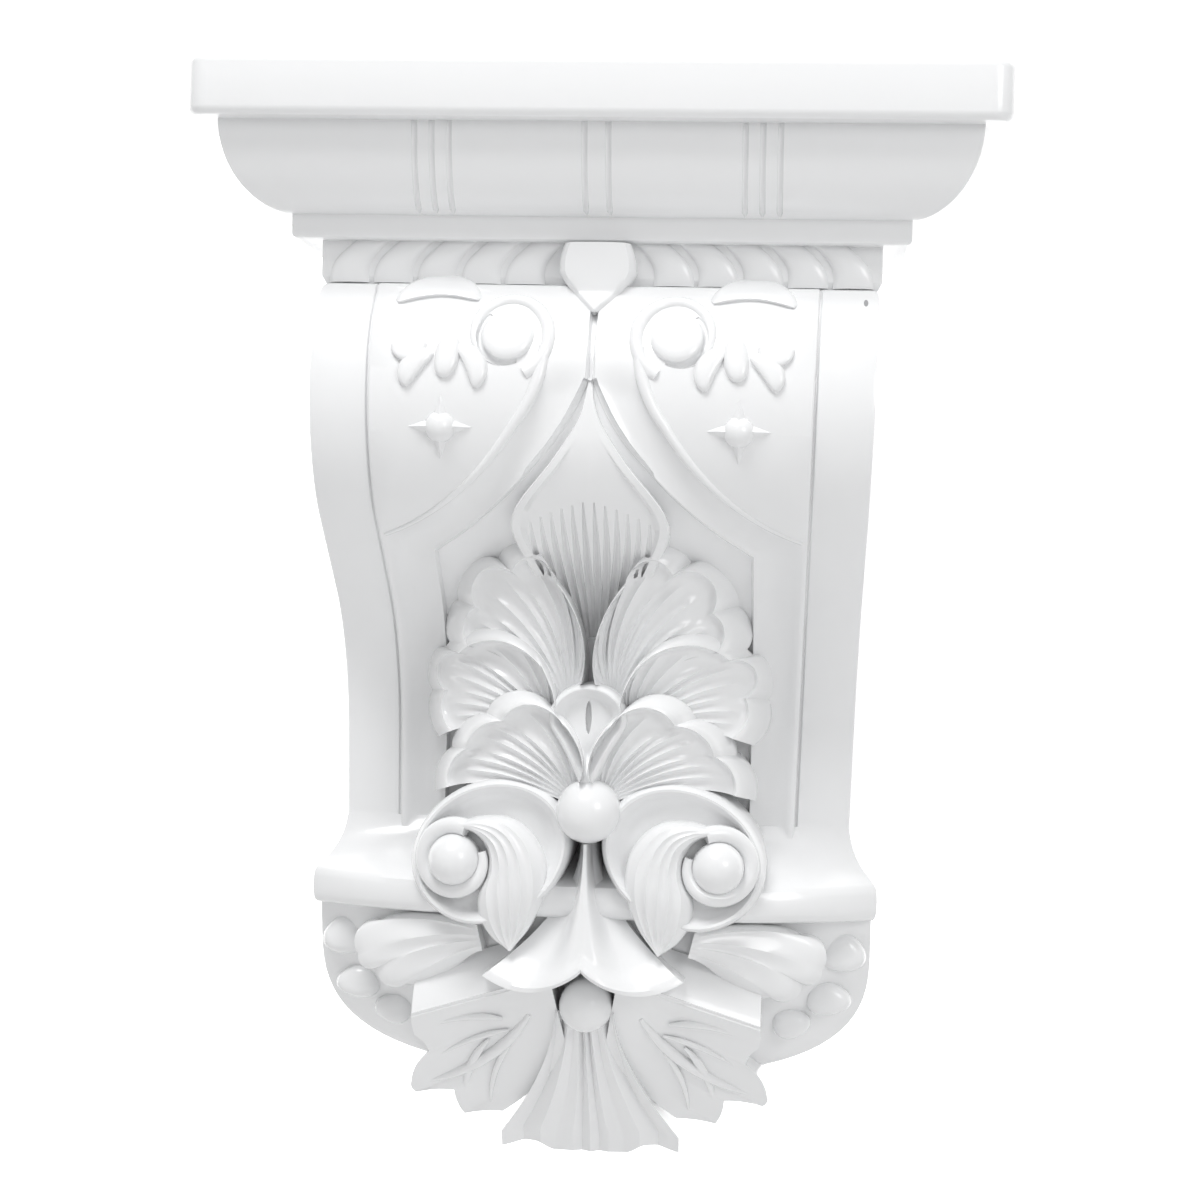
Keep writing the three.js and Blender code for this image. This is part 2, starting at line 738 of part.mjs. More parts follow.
function hangingMiddle() {
  const columns = 12;
  const rises = [1.6, -1.8, 0.8, -0.4, 2.2, -2.4, 2.6];
  return bentBox(columns, 5, (u, v, front) => {
    const slot = Math.round(u * columns) - columns / 2;
    const shares = [0, 0.1, 0.2, 0.38, 0.56, 0.76, 1];
    const across = shares[abs(slot)];
    const flare = 9.5 + 22.5 * v ** 1.7;
    const drop = lerp(298, 351 - 3 * smooth(across, 0.4, 0.62) * (1 - smooth(across, 0.7, 1) * 0.6), v);
    const rise = rises[abs(slot)] * (1 - 0.35 * v);
    return place(Math.sign(slot) * across * flare, drop, front ? hangingDepth(drop) - 1 + rise : 0);
  });
}

// The ledge that carries the scrolls: hollow above, with a rounded nose
function ledgeDepth(x) {
  return 56 * (1 - 0.46 * (min(93.2, abs(x)) / 93.2) ** 3.2);
}
const ledgeRows = [
  { drop: 239, share: 0 }, { drop: 246, share: 0.16 }, { drop: 251, share: 0.44 }, { drop: 257, share: 0.9 },
  { drop: 262, share: 1 }, { drop: 266.5, share: 0.97 }, { drop: 268, share: 0.88 },
];
function ledge() {
  const columns = 10;
  const last = ledgeRows.length - 1;
  return bentBox(columns, last, (u, v, front) => {
    const { drop, share } = ledgeRows[Math.round(v * last)];
    const halfWidth = lerp(83.8, 93.2, share);
    const across = sin((u - 0.5) * PI);
    const depth = lerp(20.5, ledgeDepth(across * 93.2), share);
    return place(across * halfWidth, drop, front ? depth : -wallOverrun);
  });
}

// The rounded bowl under the ledge
const bowl = { top: 262, middle: 280, half: 91.6, fall: 45, roundness: 2.8 };
function bowlHalfWidth(drop) {
  const share = max(0, drop - bowl.middle) / bowl.fall;
  return bowl.half * max(0, 1 - share ** bowl.roundness) ** (1 / bowl.roundness);
}
function bowlDepth(x, drop) {
  const share = min(1, abs(x) / max(1, bowlHalfWidth(drop)));
  const fall = smooth(drop, bowl.top, bowl.middle + bowl.fall);
  return lerp(lerp(48, 26, fall), lerp(24, 9, fall), share ** 2.6);
}
function bowlSolid() {
  const columns = 10;
  const rows = 7;
  return bentBox(columns, rows, (u, v, front) => {
    const drop = lerp(bowl.top, bowl.middle + bowl.fall - 0.4, sin((v * PI) / 2));
    const across = sin((u - 0.5) * PI);
    const x = across * bowlHalfWidth(drop);
    return place(x, drop, front ? bowlDepth(x, drop) : -wallOverrun);
  });
}

// The worn fruit on each end of the bowl
function bowlFruit(side) {
  const fruit = (x, drop, depth, across, down) => turned({
    x: side * x,
    drop,
    radius: across,
    radiusDown: down,
    profile: [[0, -10], [1, -10], [1, -1.5], [0.7, 2.3], [0, 3.6]],
    surface: () => depth,
    segments: 6,
  });
  return [fruit(84, 279.5, 30, 7.8, 6.6), fruit(79, 295.5, 28, 7.5, 5.4), fruit(67, 303.5, 27, 6, 5)];
}

// The three-lobed leaf under each end of the ledge
function ledgeLeaf(side) {
  const arcs = [
    { to: [69, 272.5], bulge: 0.12 },
    { to: [75.8, 283.5], bulge: 0.34 },
    { to: [69.5, 288], bulge: 0.3 },
    { to: [60, 293.2], bulge: 0.3 },
    { to: [40, 284], bulge: 0.12 },
  ];
  const columns = arcs.length * 2;
  return bentBox(columns, 3, (u, v, front) => {
    const to = onArcs([52, 270], arcs, u);
    const from = [lerp(35, 33, u), lerp(271, 279, u)];
    const [x, drop] = onArc(from, to, 0.06, v);
    const vein = Math.round(u * columns) % 2 === 1 ? 1.5 : 0;
    const dome = 3 * sqrt(max(0, 1 - v ** 4)) - vein * sin(PI * min(1, v * 1.1));
    return place(side * x, drop, front ? lerp(51, 40, v) + dome : 8);
  });
}

function carving() {
  const pieces = [heart(), palmette(), bud(), tongue(), hangingMiddle()];
  pieces.push(ball(0.6, 232.6, 61, 10.2), ball(0.4, 296, 50, 8.6));
  for (const side of [-1, 1]) {
    for (let i = 0; i < gadroonsPerSide; i += 1) {
      pieces.push(gadroon(side, i));
    }
    pieces.push(strapRidge(side), curlRidge(side), curlDisc(side), ...sprig(side), rosetteTicks(side));
    pieces.push(ball(side * rosette.x, rosette.drop, strapDepth(rosette.drop) - 0.6, rosette.ball, 5));
    for (const tier of [upperLeaf, middleLeaf, lowerLeaf]) {
      pieces.push(leaf({ side, ...tier }));
    }
    pieces.push(scrollDish(side), scrollMass(side), ball(side * eye.x, eye.drop, eye.depth, eye.radius, 5));
    pieces.push(hangingSide(side), hangingTop(side), ledgeLeaf(side), ...bowlFruit(side));
    pieces.push(hangingRib(side, [18, 300], [55, 326], -0.1, 4, 2.4));
    pieces.push(hangingRib(side, [28, 303], [50, 305], 0.08, 3, 1.6));
    pieces.push(hangingRib(side, [33, 311], [41, 333], 0.1, 3, 1.6));
  }
  return pieces;
}

// Everything behind the wall plane is cut away, so that the back is flat
function cutAtWall(solid) {
  const wall = new THREE.BoxGeometry(4 * boardWidth, boardDepth, 4 * totalHeight);
  wall.translate(0, boardDepth / 2, 0);
  return solid.subtract(solidOf(wall));
}

function join(solids) {
  return solids.reduce((whole, next) => whole.add(next));
}

function corbel() {
  const grooved = mouldingGrooves().reduce((whole, groove) => whole.subtract(groove), moulding());
  const main = join([board(), grooved, fillet(), neck(), body(), ledge(), bowlSolid()]);
  return cutAtWall(join([main, ...carving()]));
}

// The mesh of a solid
function meshOf(solid, name, finish) {
  const { vertProperties, triVerts } = solid.getMesh();
  const geometry = new THREE.BufferGeometry();
  geometry.setAttribute('position', new THREE.BufferAttribute(vertProperties, 3));
  geometry.setIndex(new THREE.BufferAttribute(triVerts, 1));
  geometry.computeVertexNormals();
  const mesh = new THREE.Mesh(geometry, new THREE.MeshStandardMaterial(finish));
  mesh.name = name;
  return mesh;
}

const group = new THREE.Group();
group.add(meshOf(corbel(), 'corbel', glossWhite));

export default group;
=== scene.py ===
"""The looks of a moulded corbel in white gloss.

The carving is drawn on a sheet in millimetres: x out from the centre line, drop down from the
top of the board and depth out from the wall. Meshes are in metres in the part's own frame.
"""

import json
import logging
import math
from dataclasses import dataclass, field
from enum import Enum
from typing import Callable, Sequence

import bmesh
import bpy
import numpy as np
from mathutils import Matrix, Vector

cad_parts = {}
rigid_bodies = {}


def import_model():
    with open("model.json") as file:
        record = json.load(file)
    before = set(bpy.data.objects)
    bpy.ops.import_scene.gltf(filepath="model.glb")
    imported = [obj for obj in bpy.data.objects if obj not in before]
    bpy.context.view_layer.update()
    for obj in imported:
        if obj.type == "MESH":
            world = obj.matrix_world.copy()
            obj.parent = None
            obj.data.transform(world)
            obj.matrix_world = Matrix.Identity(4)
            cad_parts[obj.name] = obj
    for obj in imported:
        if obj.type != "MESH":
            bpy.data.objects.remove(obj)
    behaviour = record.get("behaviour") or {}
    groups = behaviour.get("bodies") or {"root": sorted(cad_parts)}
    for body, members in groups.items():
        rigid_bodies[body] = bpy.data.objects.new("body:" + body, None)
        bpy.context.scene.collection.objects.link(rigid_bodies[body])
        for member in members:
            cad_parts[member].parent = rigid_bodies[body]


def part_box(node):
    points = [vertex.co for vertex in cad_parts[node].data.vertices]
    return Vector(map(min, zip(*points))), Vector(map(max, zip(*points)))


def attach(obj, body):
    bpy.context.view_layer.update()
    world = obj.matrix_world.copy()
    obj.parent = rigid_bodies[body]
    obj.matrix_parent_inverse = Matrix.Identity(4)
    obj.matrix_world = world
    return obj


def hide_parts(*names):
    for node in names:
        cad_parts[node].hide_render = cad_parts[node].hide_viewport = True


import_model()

log = logging.getLogger("corbel")

NODE = "corbel"
MM = 0.001
WALL_OVERLAP = -4.0
SAME_POINT = 2e-6
NO_LENGTH = 1e-7
SIDES = (-1, 1)

Pair = tuple[float, float]
Arc = tuple[float, float, float]
Shares = np.ndarray
Points = np.ndarray
Numbers = float | np.ndarray

BOX_LOW, BOX_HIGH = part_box(NODE)
BOARD_TOP = BOX_HIGH.z / MM
BOARD_HALF_WIDTH = BOX_HIGH.x / MM
BOARD_DEPTH = -BOX_LOW.y / MM


def lerp(a: Numbers, b: Numbers, t: Numbers) -> Numbers:
    """The value a share t of the way from a to b."""
    return a + (b - a) * t


def smooth(value: Numbers, low: float, high: float) -> Numbers:
    """A smooth step from 0 at low to 1 at high."""
    t = np.clip((value - low) / (high - low), 0, 1)
    return t * t * (3 - 2 * t)


def on_arc(a: np.ndarray, b: np.ndarray, bulge: Numbers, t: Numbers) -> np.ndarray:
    """Points on arcs from a to b.

    Args:
        a: Start points, with x and drop on the last axis.
        b: End points, laid out as a.
        bulge: How far each arc bulges to the left of its way, as a share of its chord.
        t: Share of the way along each arc.

    Returns:
        The points, with x and drop on the last axis.
    """
    bulge = np.where(np.abs(bulge) < 1e-3, 1e-3, bulge)
    half = 2 * np.arctan(2 * bulge)
    turn = half * (2 * t - 1)
    along = (np.sin(turn) / np.sin(half) + 1) / 2
    aside = (np.cos(turn) - np.cos(half)) / (2 * np.sin(half))
    dx, dy = b[..., 0] - a[..., 0], b[..., 1] - a[..., 1]
    return np.stack([a[..., 0] + dx * along + dy * aside, a[..., 1] + dy * along - dx * aside], axis=-1)


def on_arcs(start: Pair, arcs: Sequence[Arc], t: Shares) -> np.ndarray:
    """Points on a row of arcs that share the way equally.

    Args:
        start: Where the first arc starts.
        arcs: Each arc's end and bulge.
        t: Share of the whole row.

    Returns:
        The points, with x and drop on the last axis.
    """
    t = np.asarray(t, float)
    corners = np.array([start, *[arc[:2] for arc in arcs]], float)
    bulges = np.array([arc[2] for arc in arcs], float)
    scaled = np.clip(t, 0, 1) * len(arcs)
    index = np.minimum(scaled.astype(int), len(arcs) - 1)
    return on_arc(corners[index], corners[index + 1], bulges[index], scaled - index)


def on_spline(knots: Sequence[Pair], t: Shares) -> np.ndarray:
    """Points on a smooth curve through the knots, which share the way equally.

    Args:
        knots: The points that the curve passes.
        t: Share of the whole way.

    Returns:
        The points, with x and drop on the last axis.
    """
    p = np.array(knots, float)
    p = np.vstack([2 * p[0] - p[1], p, 2 * p[-1] - p[-2]])
    scaled = np.clip(np.asarray(t, float), 0, 1) * (len(p) - 3)
    index = np.minimum(scaled.astype(int), len(p) - 4)
    s = (scaled - index)[..., None]
    a, b, c, d = p[index], p[index + 1], p[index + 2], p[index + 3]
    return 0.5 * (2 * b + (c - a) * s + (2 * a - 5 * b + 4 * c - d) * s**2 + (3 * b - a - 3 * c + d) * s**3)


def spots(x: Numbers, drop: Numbers, depth: Numbers) -> Points:
    """Points of the sheet from their x, drop and depth."""
    return np.stack(np.broadcast_arrays(x, drop, depth), axis=-1).astype(float)


def polar(rings: int, around: int) -> tuple[np.ndarray, np.ndarray]:
    """A round grid: shares of the way out, and turns about the middle.

    Args:
        rings: How many rings from the middle to the rim.
        around: How many points to a ring.

    Returns:
        The shares and the turns, by ring and point.
    """
    turn = np.linspace(0, 2 * math.pi, around, endpoint=False)
    share, turn = np.meshgrid(np.linspace(0, 1, rings), turn, indexing="ij")
    return share, turn


def shares(rows: int, columns: int, first: float = 0.0) -> tuple[np.ndarray, np.ndarray]:
    """A square grid of shares down its rows and across its columns.

    Args:
        rows: How many rows there are, from 0 to 1.
        columns: How many columns there are, from first to 1.
        first: The first column's share, which is -1 where the grid is centred.

    Returns:
        The shares down and across.
    """
    down, across = np.meshgrid(np.linspace(0, 1, rows), np.linspace(first, 1, columns), indexing="ij")
    return down, across


def quads(number: np.ndarray) -> list[list[int]]:
    """The corner numbers of each face of a grid of numbered points."""
    a, b, c, d = number[:-1, :-1], number[:-1, 1:], number[1:, 1:], number[1:, :-1]
    return np.stack([a, b, c, d], axis=-1).reshape(-1, 4).tolist()


def in_frame(points: Points) -> np.ndarray:
    """Points of the sheet as rows of metres in the part's frame."""
    flat = points.reshape(-1, 3)
    return np.stack([flat[:, 0], -flat[:, 2], BOARD_TOP - flat[:, 1]], axis=-1) * MM


class Closing(Enum):
    """How a patch of relief meets itself before its walls go back."""

    FOUR_SIDES = "an edge on each of four sides"
    ROUND = "the last column meets the first, and the first row is one point"


class Shop:
    """Makes closed meshes, keeps them in collections and joins them."""

    def __init__(self) -> None:
        """Opens the collections for what is added and what is cut away."""
        self.added = self._collection("added")
        self.cut_away = self._collection("cut_away")

    @staticmethod
    def _collection(name: str) -> bpy.types.Collection:
        """A new collection in the scene.

        Args:
            name: Its name.

        Returns:
            The collection.
        """
        made = bpy.data.collections.new(name)
        bpy.context.scene.collection.children.link(made)
        return made

    @staticmethod
    def _turn_outward(work: bmesh.types.BMesh) -> None:
        """Turns every face outward.

        Args:
            work: The open mesh.
        """
        bmesh.ops.recalc_face_normals(work, faces=work.faces)
        if work.calc_volume(signed=True) < 0:
            bmesh.ops.reverse_faces(work, faces=work.faces)

    @classmethod
    def mesh(cls, name: str, points: np.ndarray, faces: Sequence[Sequence[int]]) -> bpy.types.Mesh:
        """A closed mesh with its doubled points merged and its faces outward.

        Args:
            name: Name of the mesh.
            points: Rows of metres.
            faces: Corner numbers of each face.

        Returns:
            The mesh.
        """
        made = bpy.data.meshes.new(name)
        made.from_pydata(points.tolist(), [], faces)
        work = bmesh.new()
        work.from_mesh(made)
        bmesh.ops.remove_doubles(work, verts=work.verts, dist=SAME_POINT)
        bmesh.ops.dissolve_degenerate(work, edges=work.edges, dist=NO_LENGTH)
        bmesh.ops.triangulate(work, faces=[face for face in work.faces if len(face.verts) > 4])
        cls._turn_outward(work)
        work.to_mesh(made)
        work.free()
        return made

    @classmethod
    def tube(cls, name: str, rings: Points) -> bpy.types.Mesh:
        """A closed mesh from rings of points in a row, with a flat face on each end.

        Args:
            name: Name of the mesh.
            rings: The points, by ring and place in the ring.

        Returns:
            The closed mesh.
        """
        count, around = rings.shape[:2]
        number = np.arange(count * around).reshape(count, around)
        faces = quads(np.hstack([number, number[:, :1]]))
        faces += [number[0].tolist(), number[-1].tolist()]
        return cls.mesh(name, in_frame(rings), faces)

    def keep(self, name: str, mesh: bpy.types.Mesh, cut: bool = False) -> None:
        """Puts a mesh, faces outward, among what is added or what is cut away.

        Args:
            name: Name of the piece.
            mesh: The mesh.
            cut: Whether it is cut away.
        """
        work = bmesh.new()
        work.from_mesh(mesh)
        self._turn_outward(work)
        open_edges = sum(not edge.is_manifold for edge in work.edges)
        work.to_mesh(mesh)
        work.free()
        if open_edges:
            log.warning("%s has %d open edges", name, open_edges)
        made = bpy.data.objects.new(name, mesh)
        (self.cut_away if cut else self.added).objects.link(made)

    @classmethod
    def solid(cls, name: str, front: Points, back: float,
              closing: Closing = Closing.FOUR_SIDES) -> bpy.types.Mesh:
        """A patch of relief with walls that run straight back to a flat plane.

        Args:
            name: Name of the mesh.
            front: Points of the patch, by row and column.
            back: Depth of the flat back.
            closing: How the patch meets itself.

        Returns:
            The closed mesh.
        """
        rows, columns = front.shape[:2]
        number = np.arange(rows * columns).reshape(rows, columns)
        if closing is Closing.ROUND:
            number = np.hstack([number, number[:, :1]])
            loop = number[-1, :-1]
        else:
            loop = np.concatenate([number[0, :-1], number[:-1, -1], number[-1, :0:-1], number[:0:-1, 0]])
        faces = quads(number)
        back_loop = rows * columns + np.arange(len(loop))
        after, back_after = np.roll(loop, -1), np.roll(back_loop, -1)
        faces += np.stack([loop, back_loop, back_after, after], axis=-1).tolist()
        faces.append(back_loop.tolist())
        rim = front.reshape(-1, 3)[loop].copy()
        rim[:, 2] = back
        return cls.mesh(name, in_frame(np.vstack([front.reshape(-1, 3), rim])), faces)

    def relief(self, name: str, front: Points, back: float, closing: Closing = Closing.FOUR_SIDES,
               cut: bool = False) -> None:
        """Keeps a solid of relief.

        Args:
            name: Name of the piece.
            front: Points of the patch, by row and column.
            back: Depth of the flat back.
            closing: How the patch meets itself.
            cut: Whether the solid is cut away.
        """
        self.keep(name, self.solid(name, front, back, closing), cut)

    def both(self, name: str, front: Points, back: float, closing: Closing = Closing.FOUR_SIDES,
             cut: bool = False) -> None:
        """The same relief on the right and, mirrored, on the left.

        Args:
            name: Name of the two pieces.
            front: Points of the patch on the right, by row and column.
            back: Depth of the flat backs.
            closing: How each patch meets itself.
            cut: Whether it is cut away.
        """
        for side in SIDES:
            mirrored = front * np.array([side, 1.0, 1.0])
            self.relief(f"{name}_{'left' if side < 0 else 'right'}", mirrored, back, closing, cut)

    def box(self, name: str, low: Sequence[float], high: Sequence[float], cut: bool = False) -> None:
        """A plain block between two corners of the sheet."""
        x, drop = np.meshgrid([low[0], high[0]], [low[1], high[1]])
        self.relief(name, spots(x, drop, high[2]), low[2], cut=cut)

    def joined(self, name: str) -> bpy.types.Mesh:
        """Everything added as one closed mesh, less what is cut away.

        Args:
            name: Name of the mesh.

        Returns:
            The mesh.
        """
        first, *others = list(self.added.objects)
        first.name = name
        self.added.objects.unlink(first)
        bpy.context.scene.collection.objects.link(first)
        self._boolean(first, "UNION", self.added)
        self._boolean(first, "DIFFERENCE", self.cut_away)
        made = bpy.data.meshes.new_from_object(first.evaluated_get(bpy.context.evaluated_depsgraph_get()))
        for spare in [first, *others, *self.cut_away.objects]:
            bpy.data.objects.remove(spare)
        for used in (self.added, self.cut_away):
            bpy.data.collections.remove(used)
        made.name = name
        return made

    @staticmethod
    def _boolean(target: bpy.types.Object, operation: str, operands: bpy.types.Collection) -> None:
        """A Boolean modifier that works on a whole collection.

        Args:
            target: The object that is changed.
            operation: UNION or DIFFERENCE.
            operands: The objects that it works with.
        """
        step = target.modifiers.new(operation.lower(), "BOOLEAN")
        step.operation = operation
        step.solver = "MANIFOLD"
        step.operand_type = "COLLECTION"
        step.collection = operands


class Nodes:
    """Adds nodes to a tree by name."""

    tree: bpy.types.NodeTree

    def node(self, kind: str, settings: dict | None = None, **values) -> bpy.types.Node:
        """A node with its settings and the values or links of its sockets.

        Args:
            kind: The node's type.
            settings: Properties that are set first.
            **values: A socket's name, with _ for a space, or n and its number, and its value or link.

        Returns:
            The node.
        """
        made = self.tree.nodes.new(kind)
        for key, value in (settings or {}).items():
            setattr(made, key, value)
        for key, value in values.items():
            socket = made.inputs[int(key[1:]) if key[1:].isdigit() else key.replace("_", " ")]
            value = value.socket if isinstance(value, Value) else value
            if isinstance(value, bpy.types.NodeSocket):
                self.tree.links.new(value, socket)
            else:
                socket.default_value = value
        return made


class Tree(Nodes):
    """A Geometry Nodes tree with named inputs."""

    def __init__(self, name: str) -> None:
        """Opens the tree with a geometry input and output.

        Args:
            name: Name of the tree.
        """
        self.tree = bpy.data.node_groups.new(name, "GeometryNodeTree")
        self.tree.is_modifier = True
        self.names: dict[str, str] = {}
        self.input("Geometry", "NodeSocketGeometry")
        self.tree.interface.new_socket("Geometry", in_out="OUTPUT", socket_type="NodeSocketGeometry")
        self.start = self.tree.nodes.new("NodeGroupInput")
        self.end = self.tree.nodes.new("NodeGroupOutput")

    def input(self, name: str, kind: str) -> None:
        """Adds a named input of a socket type."""
        made = self.tree.interface.new_socket(name, in_out="INPUT", socket_type=kind)
        self.names[name] = made.identifier

    def finish(self, geometry: bpy.types.NodeSocket) -> None:
        """Ends the tree in Realize Instances and Set Material.

        Args:
            geometry: The geometry before the last two nodes.
        """
        real = self.node("GeometryNodeRealizeInstances", Geometry=geometry)
        dressed = self.node("GeometryNodeSetMaterial", Geometry=real.outputs[0],
                            Material=self.start.outputs["Finish"])
        self.tree.links.new(dressed.outputs[0], self.end.inputs[0])

    def run(self, mesh: bpy.types.Mesh, finish: bpy.types.Material, **values) -> bpy.types.Mesh:
        """The tree's result on a mesh, as a plain mesh.

        Args:
            mesh: What the tree starts from.
            finish: The material that it sets.
            **values: The named inputs, with _ for a space.

        Returns:
            The baked mesh.
        """
        carrier = bpy.data.objects.new("carrier", mesh)
        bpy.context.scene.collection.objects.link(carrier)
        step = carrier.modifiers.new(self.tree.name, "NODES")
        step.node_group = self.tree
        step[self.names["Finish"]] = finish
        for key, value in values.items():
            step[self.names[key.replace("_", " ")]] = value
        baked = bpy.data.meshes.new_from_object(carrier.evaluated_get(bpy.context.evaluated_depsgraph_get()))
        bpy.data.objects.remove(carrier)
        return baked


class BeadTree(Tree):
    """Sweeps a round bead along a path whose points carry their own radius."""

    def __init__(self) -> None:
        """Builds the tree."""
        super().__init__("bead_along_path")
        self.input("Sides", "NodeSocketInt")
        self.input("Finish", "NodeSocketMaterial")
        path = self.node("GeometryNodeMeshToCurve", Mesh=self.start.outputs["Geometry"])
        thickness = self.node("GeometryNodeInputNamedAttribute", {"data_type": "FLOAT"}, Name="thickness")
        ring = self.node("GeometryNodeCurvePrimitiveCircle", Resolution=self.start.outputs["Sides"],
                         Radius=1.0)
        swept = self.node("GeometryNodeCurveToMesh", Curve=path.outputs[0], Profile_Curve=ring.outputs[0],
                          Scale=thickness.outputs[0], Fill_Caps=True)
        self.finish(swept.outputs[0])


class RowTree(Tree):
    """Repeats a mesh in a row, and mirrors the row over the centre line."""

    def __init__(self) -> None:
        """Builds the tree."""
        super().__init__("mirrored_row")
        self.input("Count", "NodeSocketInt")
        self.input("Start", "NodeSocketVector")
        self.input("Pitch", "NodeSocketVector")
        self.input("Finish", "NodeSocketMaterial")
        outputs = self.start.outputs
        line = self.node("GeometryNodeMeshLine", {"mode": "OFFSET"}, Count=outputs["Count"],
                         Start_Location=outputs["Start"], Offset=outputs["Pitch"])
        copies = self.node("GeometryNodeInstanceOnPoints", Points=line.outputs[0],
                           Instance=outputs["Geometry"])
        real = self.node("GeometryNodeRealizeInstances", Geometry=copies.outputs[0])
        other = self.node("GeometryNodeTransform", Geometry=real.outputs[0], Scale=(-1.0, 1.0, 1.0))
        turned = self.node("GeometryNodeFlipFaces", Mesh=other.outputs[0])
        both = self.node("GeometryNodeJoinGeometry")
        self.tree.links.new(real.outputs[0], both.inputs[0])
        self.tree.links.new(turned.outputs[0], both.inputs[0])
        self.finish(both.outputs[0])


@dataclass(frozen=True)
class Bead:
    """A bead along a path: its radius at shares of the way, and how far its middle sinks."""

    radii: Sequence[float]
    steps: int = 40
    sides: int = 10
    sink: float = 0.35


class BeadMaker:
    """Lays beads on the carving, and cuts grooves of the same form into it."""

    def __init__(self, shop: Shop, finish: bpy.types.Material) -> None:
        """Keeps the shop, the finish and the bead tree.

        Args:
            shop: Keeps the pieces.
            finish: The material.
        """
        self.shop = shop
        self.finish = finish
        self.tree = BeadTree()

    def lay(self, name: str, path: Callable[[Shares], np.ndarray], surface: Callable, bead: Bead,
            side: int = 1, cut: bool = False) -> None:
        """Sweeps one bead along a path on a surface.

        Args:
            name: Name of the bead.
            path: Gives x and drop at shares of the way.
            surface: Gives the depth at x and drop.
            bead: The bead's sizes.
            side: 1 for the right side, -1 for the left.
            cut: Whether it is a groove.
        """
        t = np.linspace(0, 1, bead.steps)
        x, drop = np.moveaxis(path(t), -1, 0)
        radius = np.interp(t, np.linspace(0, 1, len(bead.radii)), bead.radii)
        middle = surface(x, drop) - (0 if cut else bead.sink * radius)
        line = bpy.data.meshes.new(name)
        line.from_pydata(in_frame(spots(side * x, drop, middle)).tolist(),
                         [(i, i + 1) for i in range(bead.steps - 1)], [])
        line.attributes.new("thickness", "FLOAT", "POINT").data.foreach_set("value", radius * MM)
        self.shop.keep(name, self.tree.run(line, self.finish, Sides=bead.sides), cut)

    def lay_both(self, name: str, path: Callable[[Shares], np.ndarray], surface: Callable, bead: Bead,
                 cut: bool = False) -> None:
        """The same bead on both sides."""
        for side in SIDES:
            self.lay(f"{name}_{'left' if side < 0 else 'right'}", path, surface, bead, side, cut)


@dataclass(frozen=True)
class Front:
    """The S-shaped front: a bulge, a straight slant and a hollow waist, all arcs about centres."""

    top: float = 66.7
    bulge_drop: float = 106.0
    bulge_depth: float = 39.3
    bulge_radius: float = 46.5
    waist_drop: float = 210.0
    waist_depth: float = 80.5
    waist_radius: float = 60.0
    half_width: float = 88.6
    taper: float = 0.0265
    strap_rise: float = 1.6
    field_fall: float = 1.4
    shoulder_foot: float = 69.5

    def depth(self, drop: Numbers) -> np.ndarray:
        """Depth of the bare front at a drop.

        Args:
            drop: Drops from the board's top.

        Returns:
            The depths.
        """
        drop = np.asarray(drop, float)
        apart = math.hypot(self.waist_depth - self.bulge_depth, self.waist_drop - self.bulge_drop)
        angle = math.atan2(self.waist_drop - self.bulge_drop, self.waist_depth - self.bulge_depth)
        angle -= math.acos((self.bulge_radius + self.waist_radius) / apart)
        slant = [
            self.bulge_drop + self.bulge_radius * math.sin(angle),
            self.waist_drop - self.waist_radius * math.sin(angle),
        ]
        slant_depths = [
            self.bulge_depth + self.bulge_radius * math.cos(angle),
            self.waist_depth - self.waist_radius * math.cos(angle),
        ]
        over = self.bulge_depth + np.sqrt(np.maximum(0, self.bulge_radius**2 - (drop - self.bulge_drop) ** 2))
        between = np.interp(drop, slant, slant_depths)
        reach = np.clip(drop, slant[1], self.waist_drop) - self.waist_drop
        under = self.waist_depth - np.sqrt(self.waist_radius**2 - reach**2)
        return np.select([drop < slant[0], drop < slant[1]], [over, between], under)

    def strap(self, _x: Numbers, drop: Numbers) -> np.ndarray:
        """Depth of the raised straps."""
        return self.depth(drop) + self.strap_rise

    def edge(self, drop: Numbers) -> np.ndarray:
        """Half-width of the front, which narrows a little downwards."""
        return self.half_width - (drop - self.top) * self.taper


FRONT = Front()


